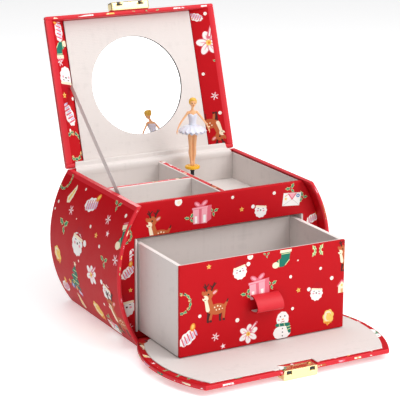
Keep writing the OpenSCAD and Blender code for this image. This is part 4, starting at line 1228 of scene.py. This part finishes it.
slope_w = math.hypot(RIM_X - RIM_W - LINING_X - 0.8, LINING_Z + 0.6 - LID_RIM)
right_slope = [  # upside down, as the print runs over the lid
    (bow(), 12.5, 92, 1.3, 30), (pip(1.8), 4, 66, 1, 0), (snowflake(), 11, 46, 1, 0),
    (pip(2.0), 13.5, 31, 1, 0), (deer(), 4.5, 19, 0.95, 182),
    (candy(), 5, 115, 0.8, 160), (pip(2.0), 13, 117, 1, 0), (holly(0.6), 17, 75, 0.9, 0),
]
left_slope = [
    (candy(), 8, 113, 0.95, 90), (stocking(), 8, 98, 0.8, 180), (chick(), 9, 74, 1.1, 170),
    (snowflake(), 4, 88, 0.9, 0), (candy(), 6, 44, 1.1, 120),
    (wreath(), 7, 18, 0.95, 0), (pip(1.5), 14.5, 57, 1, 0), (gold_star(), 3, 60, 0.9, 0),
    (pip(1.3), 4, 31, 1, 0),
]
left_slope = [(m, u, v, s * 1.3, t) for m, u, v, s, t in left_slope]
for side, name, items in ((LEFT, "left", left_slope), (RIGHT, "right", right_slope)):
    print_on("lid_slope_print_" + name, items, lid_slope(side), (0.4, 5, slope_w - 0.3, 120.8), "lid",
             place=LID_TO_REST)

# Rims: what the wrapped print shows there is cut to narrow strips


def rim_front(u, v, h):
    """The rim of the lid's front wall: u across, v over the wall's thickness."""
    return Vector((u, LID_FRONT + v, LID_RIM - h))


print_on("lid_rim_print", scatter(21, -72, 0, 72, 3.5, 0.8), rim_front, (-72, 1.2, 72, 2.4), "lid",
         place=LID_TO_REST)


def flap_face(u, v, h):
    return Vector((u, FLAP_IN + h, v))


flap_clips = barrel_clips(1.5, FLAP_LOW, FLAP_TOP)
flap_items = scatter(22, -95, 0, 95, 112, 0.8)
print_on("flap_border_print", flap_items, flap_face, (-95, FLAP_LOW + 1.6, 95, FLAP_TOP - 1.5), "flap",
         flap_clips, place=FLAP_TO_REST)


def flap_outer(u, v, h):
    return Vector((-u, FLAP_IN - FLAP_T - h, v))


print_on("flap_outer_print", scatter(23, -95, 0, 95, 112), flap_outer,
         (-95, FLAP_LOW + 1.6, 95, CASE_LO - 0.5), "flap", flap_clips, place=FLAP_TO_REST)


def flap_end(u, v, h):
    """The flap's outer edge: u across, v over its thickness."""
    return Vector((u, FLAP_IN - v, FLAP_TOP + h))


for side, name in ((LEFT, "left"), (RIGHT, "right")):
    lowest, highest = sorted((side * 15.2, side * 76))
    print_on("flap_end_print_" + name, scatter(24 + side, lowest, 0, highest, 4.3, 0.8), flap_end,
             (lowest, 1.4, highest, 2.9), "flap", place=FLAP_TO_REST)


def flap_curve(side):
    """The curved edge of the flap: u along the curve, v over its thickness."""
    def place(u, v, h):
        angle = u / BARREL_R
        return Vector((side * ((BARREL_R + h) * math.cos(angle) - BARREL_CX), FLAP_IN - v,
                       BARREL_Z + (BARREL_R + h) * math.sin(angle)))
    return place


for side, name in ((LEFT, "left"), (RIGHT, "right")):
    print_on("flap_curve_print_" + name, scatter(27 + side, -56, 0, 56, 4.3, 0.8), flap_curve(side),
             (-55, 1.4, 56, 2.9), "flap", bend=(0, 2), place=FLAP_TO_REST)


def case_rim(side):
    """The front rim of a side board: u along the curve, v across its thickness."""
    def place(u, v, h):
        angle = u / (BARREL_R - v)
        reach = (BARREL_R - v) * math.cos(angle) - BARREL_CX
        return Vector((side * reach, FRONT - h, BARREL_Z + (BARREL_R - v) * math.sin(angle)))
    return place


for side, name in ((LEFT, "left"), (RIGHT, "right")):
    print_on("case_rim_print_" + name, scatter(33 + side, -58, 0, 56, 3.2, 0.8), case_rim(side),
             (-57, 1.2, 56, 2.0), "case", bend=(0, 2))

# ---- ribbon and cloth hinges ---------------------------------------------------------------------


def ribbon_mesh(path, width, thickness, across):
    """A flat strip along path; across is the direction of its width."""
    bm = bmesh.new()
    path = [Vector(p) for p in path]
    across = Vector(across).normalized()
    rows = []
    for i, point in enumerate(path):
        tangent = (path[min(i + 1, len(path) - 1)] - path[max(i - 1, 0)]).normalized()
        wide = (across - tangent * across.dot(tangent)).normalized()
        normal = tangent.cross(wide)
        rows.append([bm.verts.new(point + wide * width / 2 * s + normal * thickness / 2 * t)
                     for s, t in ((-1, -1), (-0.9, 1), (0.9, 1), (1, -1))])
    bridge(bm, rows)
    bm.faces.new(rows[0])
    bm.faces.new(list(reversed(rows[-1])))
    bmesh.ops.recalc_face_normals(bm, faces=bm.faces[:])
    return bm


ribbon_low, ribbon_high = Vector((-73.5, -26.5, 108.6)), Vector((-61.4, 90.3, 175.2))
ribbon_path = []
for i in range(33):
    t = i / 32
    point = ribbon_low.lerp(ribbon_high, t)
    point.z -= 0.5 * 4 * t * (1 - t)
    ribbon_path.append(point)
ribbon = ribbon_mesh(ribbon_path, 5.4, 0.35, (0, -0.493, 0.865))
stay = add("stay_ribbon", ribbon, RIBBON, None, replaces=["lid_stay_ribbon"])
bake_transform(stay)

cloth_path = smooth_path([(-69, 58.4, 107.5), (-69, 58.4, 110.3), (-69, 59.1, 112.1), (-69, 60.4, 112.95),
                          (-69, 62.8, 113.1), (-69, 64.1, 113.9), (-69, 65.0, 116.4), (-69, 66.1, 117.2),
                          (-69, 70.0, 115.9), (-69, 73.3, 114.8)], 5)


def cloth_strip(path, half_width, chamfer, thickness):
    """A strip of cloth across the box: path is its section in YZ, and chamfer how far its ends slant in."""
    bm = bmesh.new()
    rows = []
    columns = 30
    for i, (_, y, z) in enumerate(path):
        before, after = path[max(i - 1, 0)], path[min(i + 1, len(path) - 1)]
        heading = Vector((0, after[1] - before[1], after[2] - before[2])).normalized()
        normal = Vector((0, -heading.z, heading.y)) * thickness / 2
        reach = half_width - chamfer * (i / (len(path) - 1))
        row = [Vector((-reach + 2 * reach * k / columns, y, z)) for k in range(columns + 1)]
        rows.append([[bm.verts.new(p + normal * s) for p in row] for s in (1, -1)])
    for first, second in zip(rows, rows[1:]):
        for layer in (0, 1):
            for k in range(columns):
                quad = (first[layer][k], first[layer][k + 1], second[layer][k + 1], second[layer][k])
                bm.faces.new(quad if layer else tuple(reversed(quad)))
        for k in (0, columns):
            bm.faces.new((first[0][k], first[1][k], second[1][k], second[0][k]))
    for row in (rows[0], rows[-1]):
        for k in range(columns):
            bm.faces.new((row[0][k], row[0][k + 1], row[1][k + 1], row[1][k]))
    bmesh.ops.recalc_face_normals(bm, faces=bm.faces[:])
    return bm


inner_cloth = add("hinge_cloth", cloth_strip(cloth_path, 73.2, 4.5, 0.3), LINING, None,
                  replaces=["inner_hinge_cloth"])
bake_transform(inner_cloth)

outer_path = smooth_path([(-72, 64.45, 99), (-72, 64.45, 108), (-72, 64.9, 111.4), (-72, 67.2, 111.9),
                          (-72, 74.2, 109.2)], 5)
outer_strip = add("hinge_leather", cloth_strip(outer_path, 72, 6, 0.5), RIM, None,
                  replaces=["outer_hinge_strip"])
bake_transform(outer_strip)

flap_path = [(-70, FRONT - 0.2 - 11 * i / 24, 3.88) for i in range(25)]
flap_strip = add("flap_hinge_leather", cloth_strip(flap_path, 70, 0, 0.4), RIM, None,
                 replaces=["flap_hinge_strip"])
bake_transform(flap_strip)

# ---- dancer --------------------------------------------------------------------------------------

AXIS = Matrix.Translation((DANCER_X, DANCER_Y, 0))
FACE_TURN = Matrix.Rotation(math.radians(-14), 4, "Z")
POSED = Matrix.Translation((DANCER_X, DANCER_Y, -1)) @ FACE_TURN
DISC_Z, DISC_T = 104.8, 2.6
FOOT_Z = 108.4      # the figure is drawn 1 mm higher than it stands


def lathe(profile, count=64):
    """A closed shape turned about Z from (radius, height) points."""
    bm = bmesh.new()
    angles = [2 * math.pi * k / count for k in range(count)]
    rings = [[bm.verts.new((r * math.cos(a), r * math.sin(a), z)) for a in angles] for r, z in profile]
    bridge(bm, rings)
    bm.faces.new(list(reversed(rings[0])))
    bm.faces.new(rings[-1])
    bmesh.ops.recalc_face_normals(bm, faces=bm.faces[:])
    return bm


disc = lathe([(5.3, DISC_Z), (6.0, DISC_Z + 0.25), (6.3, DISC_Z + 0.9), (6.3, DISC_Z + 1.8),
              (6.0, DISC_Z + 2.35), (5.4, DISC_Z + DISC_T), (0.5, DISC_Z + DISC_T)])
add("dancer_base", disc, YELLOW, "dancer", AXIS, ["base_disc"])
collar = lathe([(1.5, 102.3), (1.8, 102.6), (1.8, 104.3), (1.5, 104.75)], 32)
add("dancer_collar", collar, BLACK, "dancer_stem", AXIS, ["spring_collar"])

COILS, COIL_R, WIRE_R, COIL_STEPS = 6, 1.3, 0.27, 160
coil_low, coil_high = 98.3, 102.4
coil_rise = coil_high - coil_low - 2 * WIRE_R
coil_path = [(COIL_R * math.cos(2 * math.pi * t * COILS), COIL_R * math.sin(2 * math.pi * t * COILS),
              coil_low + WIRE_R + coil_rise * t) for t in (i / COIL_STEPS for i in range(COIL_STEPS + 1))]
coil_mesh = tube_mesh(coil_path, [(WIRE_R, WIRE_R)] * len(coil_path), 8)
coil = add("dancer_coil", coil_mesh, DARK_STEEL, None, AXIS, ["dancer_spring"])
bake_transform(coil)


def place_parts(parts, matrix):
    for part in parts:
        bmesh.ops.transform(part, matrix=matrix, verts=part.verts)


def limb(points, sides=16):
    """A rounded limb: points are (x, y, z, across, deep)."""
    path = smooth_path(points, 5)
    return tube_mesh([p[:3] for p in path], [(p[3], p[4]) for p in path], sides)


flesh = []
for s in (LEFT, RIGHT):
    flesh.append(limb([(s * 0.75, -1.0, FOOT_Z + 0.1, 0.5, 0.45), (s * 0.85, -0.9, FOOT_Z + 0.9, 0.95, 0.8),
                       (s * 1.0, -0.3, FOOT_Z + 2.6, 1.15, 1.15), (s * 1.15, 0.1, FOOT_Z + 4.4, 1.05, 1.1),
                       (s * 1.45, 0.25, FOOT_Z + 8, 1.45, 1.55), (s * 1.65, 0.35, FOOT_Z + 11.5, 1.7, 1.8),
                       (s * 1.65, 0.05, FOOT_Z + 15.5, 1.5, 1.5), (s * 1.75, 0, FOOT_Z + 19, 1.65, 1.65),
                       (s * 1.9, 0.1, FOOT_Z + 24.5, 2.0, 2.0), (s * 1.9, 0.2, FOOT_Z + 30, 2.1, 2.2),
                       (s * 1.8, 0.3, FOOT_Z + 33, 2.0, 2.2)]))
    flesh.append(limb([(s * 2.6, 0.1, 154.0, 0.9, 0.9), (s * 3.7, 0, 153.8, 1.15, 1.1),
                       (s * 5.0, -0.1, 152.2, 1.05, 1.0), (s * 7.6, -0.3, 149.0, 0.9, 0.88),
                       (s * 9.9, -0.7, 146.0, 0.78, 0.8), (s * 11.8, -1.2, 143.0, 0.72, 0.7),
                       (s * 13.2, -1.8, 140.2, 0.52, 0.5), (s * 13.6, -2.1, 139.2, 0.62, 0.42),
                       (s * 13.9, -2.5, 138.0, 0.66, 0.38), (s * 13.9, -3.0, 136.9, 0.42, 0.3),
                       (s * 13.7, -3.3, 136.2, 0.2, 0.18)], 12))
    flesh.append(limb([(s * 13.3, -2.2, 139.0, 0.2, 0.2), (s * 12.9, -2.6, 138.4, 0.24, 0.24),
                       (s * 12.8, -2.9, 137.8, 0.14, 0.14)], 8))
flesh.append(limb([(0, 0.2, 136.5, 3.2, 2.4), (0, 0.2, 139.5, 3.7, 2.7), (0, 0.1, 143.5, 2.7, 2.2),
                   (0, 0, 145.5, 2.45, 2.0), (0, 0, 148.5, 2.9, 2.3), (0, 0, 151, 3.3, 2.4),
                   (0, 0.05, 153, 3.5, 2.0), (0, 0.1, 154.4, 3.0, 1.6), (0, 0.1, 155.4, 1.7, 1.35),
                   (0, 0, 156.4, 1.2, 1.2), (0, -0.1, 158.6, 1.15, 1.2), (0, -0.2, 159.6, 1.3, 1.4)], 24))
HEAD_TURN = Matrix.Rotation(math.radians(3), 4, "Z")
HEAD = Vector((0, -0.25, 161.9))
head_parts = [
    ball_mesh((0, 0, 0.5), (2.75, 3.05, 3.1)), ball_mesh((0, -0.55, -1.3), (2.15, 2.35, 2.5)),
    ball_mesh((0, -1.7, -3.05), (0.95, 0.9, 0.8)),
    ball_mesh((0, -2.95, -0.75), (0.36, 0.5, 0.62), rings=12),
    ball_mesh((-1.2, -2.2, -1.2), (0.8, 0.6, 0.75), rings=12),
    ball_mesh((1.2, -2.2, -1.2), (0.8, 0.6, 0.75), rings=12),
    ball_mesh((-2.7, 0.1, -0.4), (0.35, 0.6, 0.85), rings=12),
    ball_mesh((2.7, 0.1, -0.4), (0.35, 0.6, 0.85), rings=12),
]
head_place = Matrix.Translation(HEAD) @ HEAD_TURN
place_parts(head_parts, head_place)


def moulded(name, parts, voxel, smoothing, material, body, place, replaces):
    """Fuses overlapping shapes into one moulded skin."""
    piece = add(name, join(*parts), material, None, place, soften=False)
    remesh = piece.modifiers.new("fuse", "REMESH")
    remesh.mode = "VOXEL"
    remesh.voxel_size = voxel * MM
    remesh.use_smooth_shade = True
    relax = piece.modifiers.new("relax", "SMOOTH")
    relax.factor = 0.5
    relax.iterations = smoothing
    bpy.context.view_layer.update()
    mesh = bpy.data.meshes.new_from_object(piece.evaluated_get(bpy.context.evaluated_depsgraph_get()))
    piece.modifiers.clear()
    piece.data = mesh
    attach(piece, body)
    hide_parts(*replaces)
    return piece


moulded("dancer_figure", flesh + head_parts, 0.2, 5, SKIN, "dancer", POSED, ["dancer_body"])

hair_parts = [ball_mesh((0, 0.75, 0.95), (3.05, 2.95, 3.2)), ball_mesh((0, -0.7, 2.6), (2.7, 2.3, 1.5)),
              ball_mesh((0, 3.2, 1.4), (1.7, 1.5, 1.7))]
for turn in range(-30, 211, 20):
    a = math.radians(turn)
    hair_parts.append(ball_mesh((2.85 * math.cos(a), -0.5, 0.9 + 2.95 * math.sin(a)), (0.72, 0.95, 0.72),
                                rings=10))
for k in range(9):
    a = math.radians(-70 + 17.5 * k)
    strand = [(2.9 * math.sin(a) * f, -1.9 + 3.6 * (1 - f) + 0.4 * abs(a),
               1.6 + 2.5 * (1 - f * f * 0.9) * math.cos(a * 0.6)) for f in (1, 0.75, 0.5, 0.25)]
    hair_parts.append(tube_mesh(strand, [(0.42, 0.42), (0.46, 0.46), (0.42, 0.42), (0.3, 0.3)], 8))
place_parts(hair_parts, head_place)
moulded("dancer_bun", hair_parts, 0.17, 2, HAIR, "dancer", POSED, ["dancer_hair"])

face_parts = []
for side in (LEFT, RIGHT):
    face_parts += [painted(ball_mesh((side * 1.1, -2.8, 0.0), (0.5, 0.25, 0.32), rings=8), 0),
                   painted(ball_mesh((side * 1.15, -2.72, 0.85), (0.55, 0.16, 0.09),
                                     Matrix.Rotation(math.radians(side * 12), 4, "Y"), 8), 1)]
face_parts += [painted(ball_mesh((0, -2.85, -2.05), (0.68, 0.34, 0.27), rings=8), 2)]
place_parts(face_parts, head_place)
add("dancer_face_paint", join(*face_parts), [EYE, HAIR, LIP], "dancer", POSED, soften=False)

# Bodice with a heart-shaped neckline
bodice = bmesh.new()
levels = [(142.6, 3.2, 2.7), (144.2, 2.75, 2.4), (145.6, 2.68, 2.25), (147.2, 2.85, 2.4),
          (148.8, 3.2, 2.65), (150.4, 3.55, 2.9), (151.8, 3.75, 2.85), (152.5, 3.72, 2.6)]
SEGMENTS = 48
rings = []
for i, (z, a, b) in enumerate(levels):
    ring = []
    for k in range(SEGMENTS):
        t = 2 * math.pi * k / SEGMENTS
        forward = max(0, -math.sin(t))
        cleft = math.exp(-((math.cos(t)) / 0.28) ** 2) * forward
        across = math.exp(-((abs(math.cos(t)) - 0.5) / 0.3) ** 2)
        bust = 0.45 * across * forward * math.exp(-((z - 150.6) / 1.5) ** 2)
        lift = (0.5 * forward - 1.15 * cleft - 0.9 * max(0, math.sin(t))) * (i / (len(levels) - 1)) ** 2
        ring.append(bodice.verts.new(((a + bust) * math.cos(t), (b + bust) * math.sin(t), z + lift)))
    rings.append(ring)
bridge(bodice, rings)
bmesh.ops.recalc_face_normals(bodice, faces=bodice.faces[:])
bodice_piece = add("dancer_bodice_shell", bodice, WHITE, "dancer", POSED, ["dancer_bodice"],
                   soften=False, corner=80)
thicken = bodice_piece.modifiers.new("thicken", "SOLIDIFY")
thicken.thickness = 0.35 * MM
thicken.offset = 1
bodice_piece.modifiers.new("round", "SUBSURF").levels = 1

# Tutu: a scalloped, fluted disc in two layers
def tutu_layer(top, hem, reach, lobes, flute, phase):
    bm = bmesh.new()
    around, outward = 196, 12
    rings = []
    for i in range(outward + 1):
        f = i / outward
        ring = []
        for k in range(around):
            t = 2 * math.pi * k / around
            lobe = abs(math.sin(lobes * t / 2 + phase)) ** 0.7
            r = 2.7 + (reach - 2.7 - 1.3 * (1 - lobe) * f ** 3) * f
            z = top + (hem - top) * (0.35 * f + 0.65 * f * f) + flute * (0.55 - lobe) * f ** 2
            ring.append(bm.verts.new((r * math.cos(t), r * math.sin(t), z)))
        rings.append(ring)
    bridge(bm, rings)
    bmesh.ops.recalc_face_normals(bm, faces=bm.faces[:])
    return bm


for name, settings in (("upper", (143.3, 138.6, 12.1, 16, 1.7, 0)),
                       ("lower", (142.4, 137.5, 11.5, 16, 1.5, 0.8))):
    layer = add("dancer_tutu_" + name, tutu_layer(*settings), WHITE, "dancer", POSED,
                ["dancer_tutu"] if name == "upper" else (), soften=False, corner=80)
    thicken = layer.modifiers.new("thicken", "SOLIDIFY")
    thicken.thickness = 0.4 * MM

# ---- movement and hardware that keep their CAD shape ---------------------------------------------

for node in ("movement_frame", "drive_arbor", "music_cylinder", "governor"):
    paint_node(node, BRASS)
for node in ("movement_screws", "spring_housing", "mainspring", "comb", "comb_screws", "cylinder_arbor",
             "latch_spring_left", "latch_spring_right", "winding_key"):
    paint_node(node, STEEL)
paint_node("shaft_bush", BLACK)
paint_node("clasp_rivets", GOLD)
